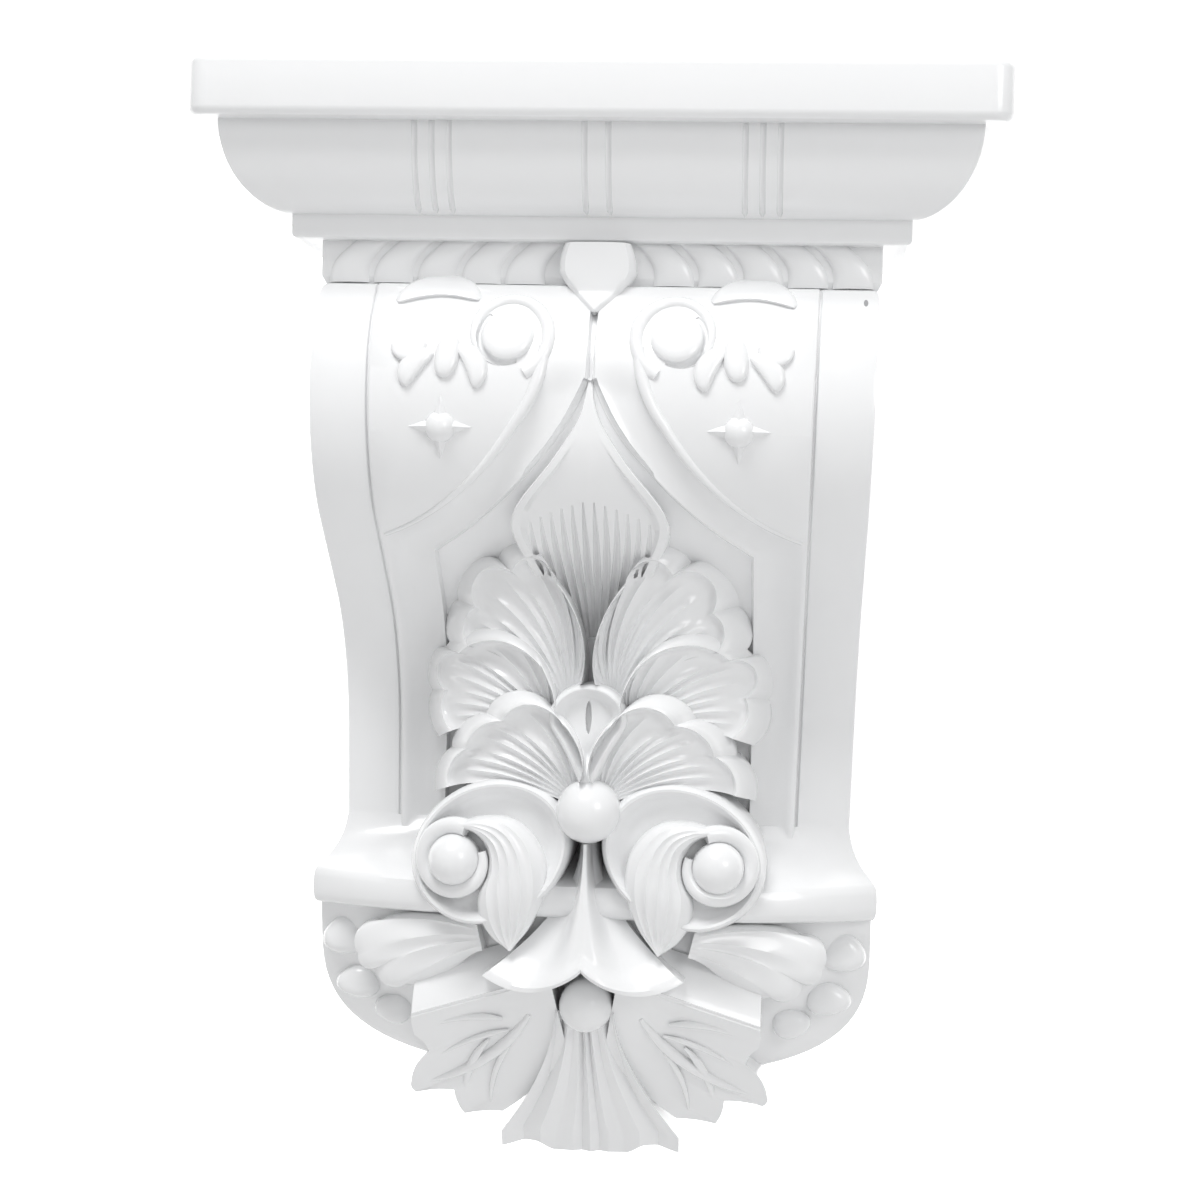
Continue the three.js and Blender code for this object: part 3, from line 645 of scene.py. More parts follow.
@dataclass
class Shelf:
    """The board, the quarter-round moulding with its grooves, the fillet and the neck band."""

    thickness: float = 18.6
    corner_radius: float = 7.0
    edge_round: float = 2.6
    moulding_step_back: float = 8.5
    moulding_height: float = 26.8
    moulding_corner: float = 0.5
    moulding_lap: float = 0.5
    fillet_half_width: float = 97.9
    fillet_depth: float = 67.9
    fillet_height: float = 7.4
    fillet_proud: float = 1.0
    fillet_lap: float = 0.4
    fillet_profile: Sequence[Pair] = ((0.0, 1.2), (0.4, 0.35), (1.3, 0.0))
    neck_half_width: float = 89.1
    neck_depth: float = 61.9
    neck_height: float = 13.9
    neck_lap: float = 0.5
    neck_profile: Sequence[Pair] = ((0.0, 2.6), (1.2, 0.4), (3.5, -2.0))
    band_corner: float = 0.3
    groove_radius: float = 1.0
    groove_end: float = 0.93
    groove_fade: float = 0.12
    groove_tip: float = 0.12
    pair_place: float = 3.7
    three_place: float = 45.8
    three_pitch: float = 5.4
    wall_overrun: float = 4.0

    def build(self, shop: Shop, row: RowTree, finish: bpy.types.Material) -> None:
        """Adds the shelf's pieces to the shop.

        Args:
            shop: Keeps the pieces.
            row: Repeats a mesh in a mirrored row.
            finish: The material.
        """
        self.board(shop)
        self.moulding(shop)
        self.grooves(shop, row, finish)
        self.fillet(shop)
        self.neck(shop)

    def levels(self) -> tuple[float, float, float, float]:
        """Drops of the undersides of the board, the moulding, the fillet and the neck.

        Returns:
            The four drops, downwards.
        """
        board = self.thickness
        moulding = board + self.moulding_height
        fillet = moulding + self.fillet_height
        return board, moulding, fillet, fillet + self.neck_height

    def ring(self, half_width: float, depth: float, radius: float) -> np.ndarray:
        """Plan of the shelf from the left of the wall round to the right.

        Args:
            half_width: Half of its width.
            depth: Its depth from the wall.
            radius: Radius of its front corners.

        Returns:
            Rows of x and depth.
        """
        turn = np.linspace(0, math.pi / 2, 9)
        x = half_width - radius + radius * np.cos(turn)
        right = np.stack([x, depth - radius + radius * np.sin(turn)], -1)
        left = right[::-1] * np.array([-1.0, 1.0])
        wall = np.array([[half_width, -self.wall_overrun]])
        return np.vstack([wall, right, left, wall * np.array([-1.0, 1.0])])

    def stack(self, shop: Shop, name: str, rows: Sequence[tuple[float, float, float, float]]) -> None:
        """A solid from rings stacked downwards.

        Args:
            shop: Where the solid is kept.
            name: Its name.
            rows: Half-width, depth, corner radius and drop of each ring.
        """
        rings = np.stack([
            spots(plan[:, 0], drop, plan[:, 1])
            for plan, drop in ((self.ring(*row[:3]), row[3]) for row in rows)
        ])
        shop.keep(name, shop.tube(name, rings))

    def board(self, shop: Shop) -> None:
        """The board, with softened edges.

        Args:
            shop: Keeps the pieces.
        """
        turn = np.linspace(0, math.pi / 2, 6)
        r = self.edge_round
        inset = np.concatenate([r * (1 - np.sin(turn)), r * (1 - np.sin(turn[::-1]))])
        drop = np.concatenate([r * (1 - np.cos(turn)), self.thickness - r * (1 - np.cos(turn[::-1]))])
        self.stack(shop, "board", [
            (BOARD_HALF_WIDTH - i, BOARD_DEPTH - i, self.corner_radius - i, z) for i, z in zip(inset, drop)
        ])

    def run(self) -> float:
        """How far the quarter-round steps in at its ends, from its top to its foot."""
        return BOARD_HALF_WIDTH - self.moulding_step_back - self.fillet_half_width

    def depth_share(self) -> float:
        """How much of the quarter-round's run the front takes beside its ends."""
        return (BOARD_DEPTH - self.moulding_step_back - self.fillet_depth + self.fillet_proud) / self.run()

    def setback(self, share: Numbers) -> np.ndarray:
        """Setback of the quarter-round from its widest line at a share of its height."""
        return self.run() * (1 - np.sqrt(np.maximum(0, 1 - share**2)))

    def moulding(self, shop: Shop) -> None:
        """The quarter-round moulding.

        Args:
            shop: Keeps the pieces.
        """
        share = np.sin(np.linspace(0, math.pi / 2, 22))
        half_width = BOARD_HALF_WIDTH - self.moulding_step_back
        depth = BOARD_DEPTH - self.moulding_step_back
        falls = share * (self.moulding_height + self.moulding_lap)
        self.stack(shop, "moulding", [
            (half_width - inset, depth - inset * self.depth_share(), self.moulding_corner,
             self.thickness - self.moulding_lap + fall)
            for inset, fall in zip(self.setback(share), falls)
        ])

    def grooves(self, shop: Shop, row: RowTree, finish: bpy.types.Material) -> None:
        """The upright grooves on the moulding's front, in a pair and two threes.

        Args:
            shop: Keeps the pieces.
            row: Repeats a mesh in a mirrored row.
            finish: The material.
        """
        t = np.linspace(0, self.groove_end, 24)
        share = np.sin(t * math.pi / 2)
        depth = BOARD_DEPTH - self.moulding_step_back - self.setback(share) * self.depth_share()
        drop = self.thickness + share * self.moulding_height
        fade = np.clip((self.groove_end - t) / self.groove_fade, self.groove_tip, 1)
        turn = np.linspace(0, 2 * math.pi, 10, endpoint=False)
        slope = np.arctan2(np.gradient(depth), np.gradient(drop))
        out = self.groove_radius * fade[:, None] * np.cos(turn)
        rings = spots(
            self.groove_radius * fade[:, None] * np.sin(turn),
            drop[:, None] - out * np.sin(slope)[:, None],
            depth[:, None] + out * np.cos(slope)[:, None],
        )
        cutter = shop.tube("groove", rings)
        for name, start, pitch, copies in (
            ("pair", self.pair_place, 0.0, 1), ("three", self.three_place, self.three_pitch, 3),
        ):
            made = row.run(cutter, finish, Count=copies, Start=(start * MM, 0, 0), Pitch=(pitch * MM, 0, 0))
            shop.keep(f"grooves_{name}", made, cut=True)

    def band(self, shop: Shop, name: str, size: Pair, ends: Pair, profile: Sequence[Pair]) -> None:
        """A flat band whose lower edge follows a profile.

        Args:
            shop: Where the band is kept.
            name: Its name.
            size: Its half-width and depth.
            ends: Drops of its top and underside.
            profile: Inset and height over the underside, downwards.
        """
        (half_width, depth), (top, bottom) = size, ends
        rows = [(half_width, depth, self.band_corner, top)]
        for inset, rise in profile:
            rows.append((half_width - inset, depth - inset, self.band_corner, bottom - rise))
        self.stack(shop, name, rows)

    def fillet(self, shop: Shop) -> None:
        """The flat fillet under the moulding, with a small chamfer below.

        Args:
            shop: Keeps the pieces.
        """
        _board, top, bottom, _neck = self.levels()
        size = (self.fillet_half_width, self.fillet_depth)
        self.band(shop, "fillet", size, (top - self.fillet_lap, bottom), self.fillet_profile)

    def neck(self, shop: Shop) -> None:
        """The neck band under the fillet, which runs out in a small cove onto the front.

        Args:
            shop: Keeps the pieces.
        """
        _board, _moulding, top, bottom = self.levels()
        size = (self.neck_half_width, self.neck_depth)
        self.band(shop, "neck", size, (top - self.neck_lap, bottom), self.neck_profile)


@dataclass
class Frieze:
    """The leaning gadroons of the neck and the heart in their middle."""

    shelf: Shelf
    count: int = 5
    first_foot: float = 23.6
    pitch: float = 14.1
    lean: float = 7.4
    half_width: float = 6.4
    height: float = 2.4
    taper: float = 0.15
    curve: float = 0.35
    dome_start: float = 0.12
    dome_span: float = 0.8
    foot_gap: float = 0.6
    lap: float = 0.2
    root: float = 4.0
    heart_top: float = 53.8
    heart_tip: float = 77.0
    heart_lobe: float = 0.36
    heart_shoulder: float = 10.3
    heart_swell: float = 1.7
    heart_half_width: float = 11.95
    heart_chamfer: float = 1.8
    heart_rim: float = 2.2
    heart_rise: float = 1.6
    heart_back: float = 40.0

    def build(self, shop: Shop, row: RowTree, finish: bpy.types.Material) -> None:
        """Adds the gadroons and the heart."""
        self.gadroons(shop, row, finish)
        self.heart(shop)

    def gadroons(self, shop: Shop, row: RowTree, finish: bpy.types.Material) -> None:
        """One pad, repeated in a row on each side.

        Args:
            shop: Keeps the pieces.
            row: Repeats a mesh in a mirrored row.
            finish: The material.
        """
        _board, _moulding, top, bottom = self.shelf.levels()
        v, u = shares(15, 17, -1)
        curve = self.lean * self.curve * np.sin(math.pi * v)
        x = u * self.half_width * (1 - self.taper * v) - self.lean * v + curve
        ends = np.sin(math.pi * (self.dome_start + self.dome_span * v))
        dome = np.sqrt(np.maximum(0, 1 - u**2)) * np.sqrt(np.maximum(0, ends))
        drop = lerp(bottom - self.foot_gap, top - self.lap, v)
        front = spots(x, drop, self.shelf.neck_depth + self.height * dome)
        pad = shop.solid("gadroon", front, self.shelf.neck_depth - self.root)
        made = row.run(pad, finish, Count=self.count, Start=(self.first_foot * MM, 0, 0),
                       Pitch=(self.pitch * MM, 0, 0))
        shop.keep("gadroons", made)

    def heart(self, shop: Shop) -> None:
        """The heart on the neck, with a chamfered rim and its tip between the two straps.

        Args:
            shop: Keeps the pieces.
        """
        v, u = shares(30, 25, -1)
        lobe = self.heart_lobe
        drop = lerp(self.heart_top, self.heart_tip, v)
        upper = self.heart_shoulder + self.heart_swell * np.sin(np.minimum(v / lobe, 1) * math.pi * 0.6)
        lower = self.heart_half_width * (1 - (np.clip((v - lobe) / (1 - lobe), 0, 1)) ** 1.3) + 0.3
        half_width = np.where(v < lobe, upper, lower)
        rim = np.minimum(1, (1 - np.abs(u)) * half_width / self.heart_chamfer)
        on_neck = self.shelf.neck_depth + self.heart_rise
        on_strap = FRONT.strap(0, np.maximum(drop, FRONT.shoulder_foot)) - 0.4
        dome = self.heart_rim * rim + 1.0 * (1 - u**2) * (1 - 0.3 * v)
        front = spots(u * half_width, drop, np.maximum(on_neck, on_strap) + dome)
        shop.relief("heart", front, self.heart_back)


@dataclass
class Straps:
    """The body's front: two raised straps with curls, sprigs and rosettes, between side strips."""

    edge_start: Pair = (1.0, 98.0)
    edge_arcs: Sequence[Arc] = ((17.0, 124.0, -0.06), (50.6, 150.6, -0.05))
    ridge_start: Pair = (14.6, 88.0)
    ridge_arcs: Sequence[Arc] = ((23.5, 112.5, -0.08), (66.0, 146.3, -0.09))
    strip_top: float = 70.0
    strip_bottom: float = 66.0
    strip_end: float = 245.0
    foot: float = 264.0
    shoulder: float = 4.0
    shoulder_height: float = 3.6
    channel: float = 2.2
    channel_start: Pair = (92.0, 104.0)
    curl: tuple[float, float, float] = (26.3, 84.4, 8.4)
    curl_rise: float = 2.8
    curl_dip: float = 0.9
    root: float = 50.0
    rosette: tuple[float, float, float] = (46.0, 113.5, 4.9)
    rosette_sink: float = 0.8
    tick_reach: float = 10.4
    tick_waist: float = 2.3
    tick_height: float = 2.6
    petal_sink: float = 0.2
    petals: Sequence[tuple[Pair, Pair, float, float, float]] = (
        ((35.8, 71.8), (63.0, 73.0), 0.2, 9.5, 3.0),
        ((62.6, 88.2), (51.0, 87.8), 0.22, 6.2, 2.3),
        ((58.0, 101.2), (49.4, 89.6), -0.14, 7.4, 2.5),
        ((45.6, 98.6), (44.0, 83.6), 0.02, 8.0, 2.7),
        ((34.6, 101.6), (41.4, 87.4), 0.16, 7.2, 2.5),
    )

    def build(self, shop: Shop, beads: BeadMaker) -> None:
        """Adds the body with its straps, and what lies on them.

        Args:
            shop: Keeps the pieces.
            beads: Lays the beads and cuts the grooves.
        """
        self.body(shop)
        self.lines(beads)
        self.curls(shop, beads)
        self.sprigs(shop)
        self.rosettes(shop)

    def edge_x(self, drop: Numbers) -> np.ndarray:
        """Where the straps' lower edge is at a drop."""
        way = on_arcs(self.edge_start, self.edge_arcs, np.linspace(0, 1, 300))
        return np.interp(drop, way[:, 1], way[:, 0])

    def ridge_x(self, drop: Numbers) -> np.ndarray:
        """Where the straps' inner ridge is at a drop."""
        way = on_arcs(self.ridge_start, self.ridge_arcs, np.linspace(0, 1, 300))
        return np.interp(drop, way[:, 1], way[:, 0])

    def strip_x(self, drop: Numbers) -> np.ndarray:
        """Where the groove beside the side strip is at a drop."""
        return lerp(self.strip_top, self.strip_bottom, (drop - FRONT.top) / (self.strip_end - FRONT.top))

    def body(self, shop: Shop) -> None:
        """The whole front, cut flat at the wall.

        Args:
            shop: Keeps the pieces.
        """
        drop = np.concatenate([FRONT.top + np.array([0, 0.5, 1.4, 2.8]), np.linspace(71.5, self.foot, 110)])
        below = np.clip((drop - FRONT.top) / self.shoulder_height, 0, 1)
        shoulder = self.shoulder * (1 - np.sqrt(np.maximum(0, 1 - (1 - below) ** 2)))
        edge, ridge, strip = self.edge_x(drop), self.ridge_x(drop), self.strip_x(drop)
        side = FRONT.edge(drop) - 0.6 * shoulder
        ridge = np.clip(ridge, edge + 2, strip - 2)
        channel = self.channel * smooth(drop, *self.channel_start)
        level, field, raised = 0 * drop, 0 * drop - FRONT.field_fall, 0 * drop + FRONT.strap_rise
        columns: list[tuple[np.ndarray, np.ndarray]] = [(level, field)]
        columns += [(edge * share, field) for share in (0.35, 0.7)]
        columns += [(edge - 0.5, field), (edge + 0.3, raised)]
        for share in np.linspace(0.08, 1, 9):
            hollow = channel * np.sin(math.pi * share) ** 0.8
            columns.append((lerp(edge + 0.3, ridge, share), FRONT.strap_rise - hollow))
        for share in (0.25, 0.5, 0.75):
            columns.append((lerp(ridge, strip - 1.0, share), raised))
        columns += [
            (strip - 1.0, raised), (strip - 0.5, raised - 0.4), (strip - 0.1, level - 1.1),
            (strip + 0.25, level - 1.2), (strip + 0.7, level - 0.2), (strip + 1.3, level),
            (lerp(strip, side, 0.5), level), (side - 1.4, level), (side - 0.35, level - 0.35),
            (side, level - 1.4),
        ]
        right_x = np.stack([x for x, _rise in columns], axis=-1)
        rise = np.stack([rise for _x, rise in columns], axis=-1)
        x = np.hstack([-right_x[:, :0:-1], right_x])
        rise = np.hstack([rise[:, :0:-1], rise])
        depth = FRONT.depth(np.maximum(drop, FRONT.shoulder_foot)) - shoulder
        front = spots(x, drop[:, None], depth[:, None] + rise)
        shop.relief("body", front, WALL_OVERLAP)

    def lines(self, beads: BeadMaker) -> None:
        """The straps' inner ridges and the dark seams along the middle.

        Args:
            beads: Lays the beads and cuts the grooves.
        """
        beads.lay_both("strap_ridge", lambda t: on_arcs(self.ridge_start, self.ridge_arcs, t), FRONT.strap,
                       Bead((2.0, 2.1, 1.9, 1.5, 1.1, 0.7), steps=60))
        beads.lay("middle_seam", lambda t: np.stack([0 * t, lerp(75.5, 99.0, t)], -1), FRONT.strap,
                  Bead((0.8, 1.3, 1.4, 1.5), steps=20), cut=True)
        beads.lay_both("palmette_seam", lambda t: on_arcs(self.edge_start, self.edge_arcs, t * 0.8),
                       lambda x, drop: FRONT.depth(drop) + 0.4,
                       Bead((1.4, 1.6, 1.6, 1.4, 1.0, 0.6), steps=50), cut=True)

    def curls(self, shop: Shop, beads: BeadMaker) -> None:
        """The domed disc at each strap's top and the ridge that winds round it.

        Args:
            shop: Keeps the pieces.
            beads: Lays the beads and cuts the grooves.
        """
        x, drop, radius = self.curl
        share, turn = polar(14, 48)
        px, pd = x + share * radius * np.cos(turn), drop + share * radius * np.sin(turn)
        dip = self.curl_dip * smooth(np.sin(turn) * share, 0.3, -0.8)
        rise = self.curl_rise * np.sqrt(np.maximum(0, 1 - share**4)) - dip
        shop.both("curl_disc", spots(px, pd, FRONT.strap(px, pd) + rise), self.root, Closing.ROUND)

        def winding(t: Shares) -> np.ndarray:
            """The way round the disc that the ridge takes."""
            angle = lerp(0.46, -1.36, t) * math.pi
            reach = lerp(radius + 1.0, radius + 5.2, t)
            return np.stack([x + reach * np.cos(angle), drop + reach * np.sin(angle)], -1)

        def beside(t: Shares) -> np.ndarray:
            """The way along the disc's rim that the crevice takes."""
            angle, reach = (0.62 - 0.9 * t) * math.pi, radius + 0.5
            return np.stack([x + reach * np.cos(angle), drop + reach * np.sin(angle)], -1)

        beads.lay_both("curl_ridge", winding, FRONT.strap, Bead((0.7, 1.6, 2.1, 2.4, 2.1), steps=60))
        beads.lay_both("curl_crevice", beside, FRONT.strap, Bead((0.6, 1.5, 1.3, 0.6), steps=30), cut=True)

    def sprigs(self, shop: Shop) -> None:
        """The curled leaf and the four petals beside each curl.

        Args:
            shop: Keeps the pieces.
        """
        t, across = shares(22, 13, -1)
        ends = np.abs(2 * t - 1)
        dome = np.sqrt(np.maximum(0, 1 - across**4)) * np.maximum(0, 1 - ends**4) ** 0.5
        for number, (start, end, bulge, width, height) in enumerate(self.petals):
            middle = on_arc(np.array(start), np.array(end), bulge, t)
            way = np.array(end) - np.array(start)
            way = way / np.hypot(*way)
            spread = np.sqrt(np.maximum(0, 1 - ends**2.2)) * width / 2
            x = middle[..., 0] + across * spread * way[1]
            drop = middle[..., 1] - across * spread * way[0]
            depth = FRONT.strap(x, drop) - self.petal_sink + height * dome
            shop.both(f"petal_{number}", spots(x, drop, depth), self.root)

    def rosettes(self, shop: Shop) -> None:
        """The ball and the four pointed ticks under each sprig.

        Args:
            shop: Keeps the pieces.
        """
        x, drop, radius = self.rosette
        share, turn = polar(9, 32)
        cusp = np.abs(((turn * 2 / math.pi + 0.5) % 1) - 0.5) * 2
        reach = lerp(self.tick_reach, self.tick_waist, cusp**0.6)
        px, pd = x + share * reach * np.cos(turn), drop + share * reach * np.sin(turn)
        depth = FRONT.strap(px, pd) - self.petal_sink + self.tick_height * (1 - share**2)
        shop.both("ticks", spots(px, pd, depth), self.root, Closing.ROUND)
        middle = float(FRONT.strap(x, drop)) - self.rosette_sink
        shop.both("rosette", ball(x, drop, middle, radius), self.root, Closing.ROUND)


def ball(x: float, drop: float, depth: float, radius: float, rings: int = 14, around: int = 40) -> Points:
    """The front half of a ball as rings of points.

    Args:
        x: Its middle across.
        drop: Its middle downwards.
        depth: Its middle outwards.
        radius: Its radius.
        rings: How many rings from the pole to the rim.
        around: How many points to a ring.

    Returns:
        The points, by ring and turn.
    """
    turn = np.linspace(0, 2 * math.pi, around, endpoint=False)
    tilt, turn = np.meshgrid(np.linspace(0, math.pi / 2, rings), turn, indexing="ij")
    return spots(x + radius * np.sin(tilt) * np.cos(turn), drop + radius * np.sin(tilt) * np.sin(turn),
                 depth + radius * np.cos(tilt))


@dataclass
class Palmette:
    """The ogee leaf in the middle, with a flat rim and flutes that run into a deep slot."""

    knots: Sequence[Pair] = (
        (97.6, 0.6), (105.0, 1.6), (112.3, 4.3), (123.9, 11.9), (134.4, 20.6), (139.5, 23.8), (145.4, 24.6),
        (155.0, 20.5), (170.0, 13.0), (192.0, 6.0),
    )
    rim: float = 3.0
    rim_height: float = 1.9
    dish: float = 1.7
    flutes: int = 12

    def build(self, shop: Shop, beads: BeadMaker) -> None:
        """Adds the palmette and cuts its flutes.

        Args:
            shop: Keeps the pieces.
            beads: Lays the beads and cuts the grooves.
        """
        drop = np.concatenate([np.linspace(97.6, 150, 70), np.linspace(151.5, 192, 14)])
        half_width = self.half_width(drop)[:, None]
        inner = np.maximum(half_width - self.rim, half_width * 0.45)
        share = np.linspace(0, 1, 15)
        rim = [lerp(inner, half_width, 0.15), lerp(inner, half_width, 0.82), half_width]
        right = np.hstack([inner * share, *rim])
        dish = self.rim_height * smooth(drop, 116, 134)[:, None]
        across = np.concatenate([share, [1.0, 1.0, 1.0]])
        dip = np.where(across < 0.97, dish * (1 - 0.35 * (1 - across) ** 2), 0)
        dip[:, -1] = 1.0
        dip[:, -2] = 0.15
        x = np.hstack([-right[:, :0:-1], right])
        dip = np.hstack([dip[:, :0:-1], dip])
        shop.relief("palmette", spots(x, drop[:, None], self.depth(drop)[:, None] - dip), 12)
        for number in range(self.flutes):
            lean = (number - (self.flutes - 1) / 2) / (self.flutes / 2)
            start = (20.4 * lean, 143.5 - 8.5 * (1 - abs(lean)) ** 0.7)
            end = (7.5 * lean, 178.0)
            beads.lay(f"flute_{number}",
                      lambda t, a=start, b=end, k=lean: on_arc(np.array(a), np.array(b), 0.08 * k, t),
                      lambda _x, drop: self.depth(drop) - self.dish,
                      Bead((0.4, 0.95, 1.3, 1.45, 1.4, 1.3), steps=24, sides=8), cut=True)

    def half_width(self, drop: Numbers) -> np.ndarray:
        """Half-width at a drop."""
        way = on_spline(self.knots, np.linspace(0, 1, 400))
        return np.interp(drop, way[:, 0], way[:, 1])

    @staticmethod
    def depth(drop: Numbers) -> np.ndarray:
        """Depth of its rim at a drop."""
        lift = lerp(1.2, 7.5, smooth(drop, 98, 142)) + lerp(0, 14, smooth(drop, 142, 192))
        return FRONT.depth(drop) + lift


def crest_depth(x: Numbers, drop: Numbers) -> np.ndarray:
    """Depth of the leaves' crests: full at the middle and falling away to the sides."""
    return lerp(66.5, 69, smooth(drop, 170, 215)) - 42 * (np.minimum(np.abs(x), 60) / 58) ** 3.2


@dataclass
class Leaf:
    """A leaf whose ribs fan from a narrow foot to a scalloped rim that rolls over."""

    name: str
    foot: tuple[Pair, Pair]
    start: Pair
    arcs: Sequence[Arc]
    bends: Pair
    roll: float
    hollow: float
    edge_fall: float
    veins: int = 3
    vein_height: float = 1.7
    foot_fall: float = 7.0
    notch: float = 1.6
    notch_width: float = 0.09
    widest_roll: float = 0.42
    back: float = 12.0

    def build(self, shop: Shop) -> None:
        """Adds the leaf on both sides.

        Args:
            shop: Keeps the pieces.
        """
        lobes = len(self.arcs)
        share = np.linspace(0, 1, lobes * 18 + 1)
        rows = np.concatenate([np.linspace(0, 0.8, 14), np.linspace(0.84, 1, 8), np.linspace(1.1, 2, 10)])
        t, s = np.meshgrid(rows, share, indexing="ij")
        foot = [np.array(p) for p in self.foot]
        start = foot[0] + (foot[1] - foot[0]) * (s[..., None] ** 0.6)
        end = on_arcs(self.start, self.arcs, s)
        way = np.hypot(end[..., 0] - start[..., 0], end[..., 1] - start[..., 1])
        crest = 1 - np.minimum(self.widest_roll, self.roll / np.maximum(way, 1e-6))
        along = np.where(t <= 1, t * crest, lerp(crest, 1, t - 1))
        x, drop = np.moveaxis(on_arc(start, end, lerp(self.bends[0], self.bends[1], s), along), -1, 0)
        lobe = s * lobes
        joint = np.round(lobe)
        near_notch = np.exp(-(((lobe - joint) / self.notch_width) ** 2)) * (joint > 0) * (joint < lobes)
        top = crest_depth(x, drop) - self.notch * near_notch * smooth(t, 0.5, 1)
        outer = self.edge_fall * (1 - np.cos(np.maximum(0, t - 1) * math.pi / 2))
        to_foot = self.foot_fall * np.maximum(0, 1 - t) ** 2
        scoop = self.hollow * (1 - np.minimum(t, 1) ** 14) ** 0.8 * smooth(s, -0.02, 0.05)
        cusps = 1 - np.abs(np.sin(math.pi * lobe * self.veins))
        fade = smooth(t, 0.06, 0.4) * (1 - smooth(t, 0.72, 0.97)) * smooth(s, 0.1, 0.2)
        veins = self.vein_height * cusps * fade
        front = spots(x, drop, top - to_foot - scoop + veins - outer)
        shop.both(self.name, front, self.back)


@dataclass
class Leaves:
    """Three tiers of leaves and the bud between the lowest two."""

    tiers: Sequence[Leaf] = (
        Leaf("upper_leaf", ((3.2, 192.5), (10.0, 199.0)), (1.9, 192.0),
             ((16.0, 154.0, 0.125), (32.6, 152.0, 0.40), (46.6, 166.4, 0.36), (48.6, 181.0, 0.22)),
             (0.13, 0.12), 8.6, 7.0, 7.5),
        Leaf("middle_leaf", ((11.0, 200.0), (16.0, 208.0)), (10.2, 199.6),
             ((19.4, 180.9, 0.1), (51.0, 182.4, 0.2), (56.4, 197.0, 0.4), (52.0, 212.0, 0.18)),
             (0.12, 0.10), 7.2, 6.5, 7.0),
        Leaf("lower_leaf", ((2.4, 223.4), (6.0, 231.0)), (1.6, 223.0),
             ((11.6, 200.0, 0.16), (34.0, 202.6, 0.28), (46.6, 214.8, 0.17), (53.0, 230.0, 0.16)),
             (0.13, 0.12), 6.6, 6.0, 6.5),
    )
    bud: tuple[float, float] = (0.0, 203.4)
    bud_radii: tuple[float, float, float] = (13.2, 11.6, 25.0)
    bud_ring: tuple[float, float, float] = (0.84, 0.11, 2.6)
    bud_depth: float = 63.0
    bud_dish: float = 1.6
    bud_edge: float = 6.0
    slit_ends: Pair = (197.6, 208.2)
    slit_floor: float = 59.0

    def build(self, shop: Shop) -> None:
        """Adds the leaves and the bud.

        Args:
            shop: Keeps the pieces.
        """
        for leaf in self.tiers:
            leaf.build(shop)
        x, drop = self.bud
        across, up, down = self.bud_radii
        share, turn = polar(30, 56)
        lower = np.maximum(0, np.sin(turn))
        reach = np.where(np.sin(turn) < 0, up, lerp(up, down, share * lower**3))
        px = x + share * across * np.cos(turn) * (1 - 0.42 * lower**2)
        pd = drop + share * reach * np.sin(turn)
        middle, width, height = self.bud_ring
        ring = height * np.exp(-(((share - middle) / width) ** 2))
        dish = -self.bud_dish * (1 - smooth(share, 0.55, 0.72))
        rim_fall = -self.bud_edge * smooth(share, 0.93, 1.0)
        shop.relief("bud", spots(px, pd, self.bud_depth + ring + dish + rim_fall), 15, Closing.ROUND)
        s, v = shares(13, 5, -1)
        lens = np.sqrt(np.maximum(0, np.sin(math.pi * s)))
        shop.relief("bud_slit", spots(v * lens, lerp(*self.slit_ends, s), 70.0), self.slit_floor, cut=True)


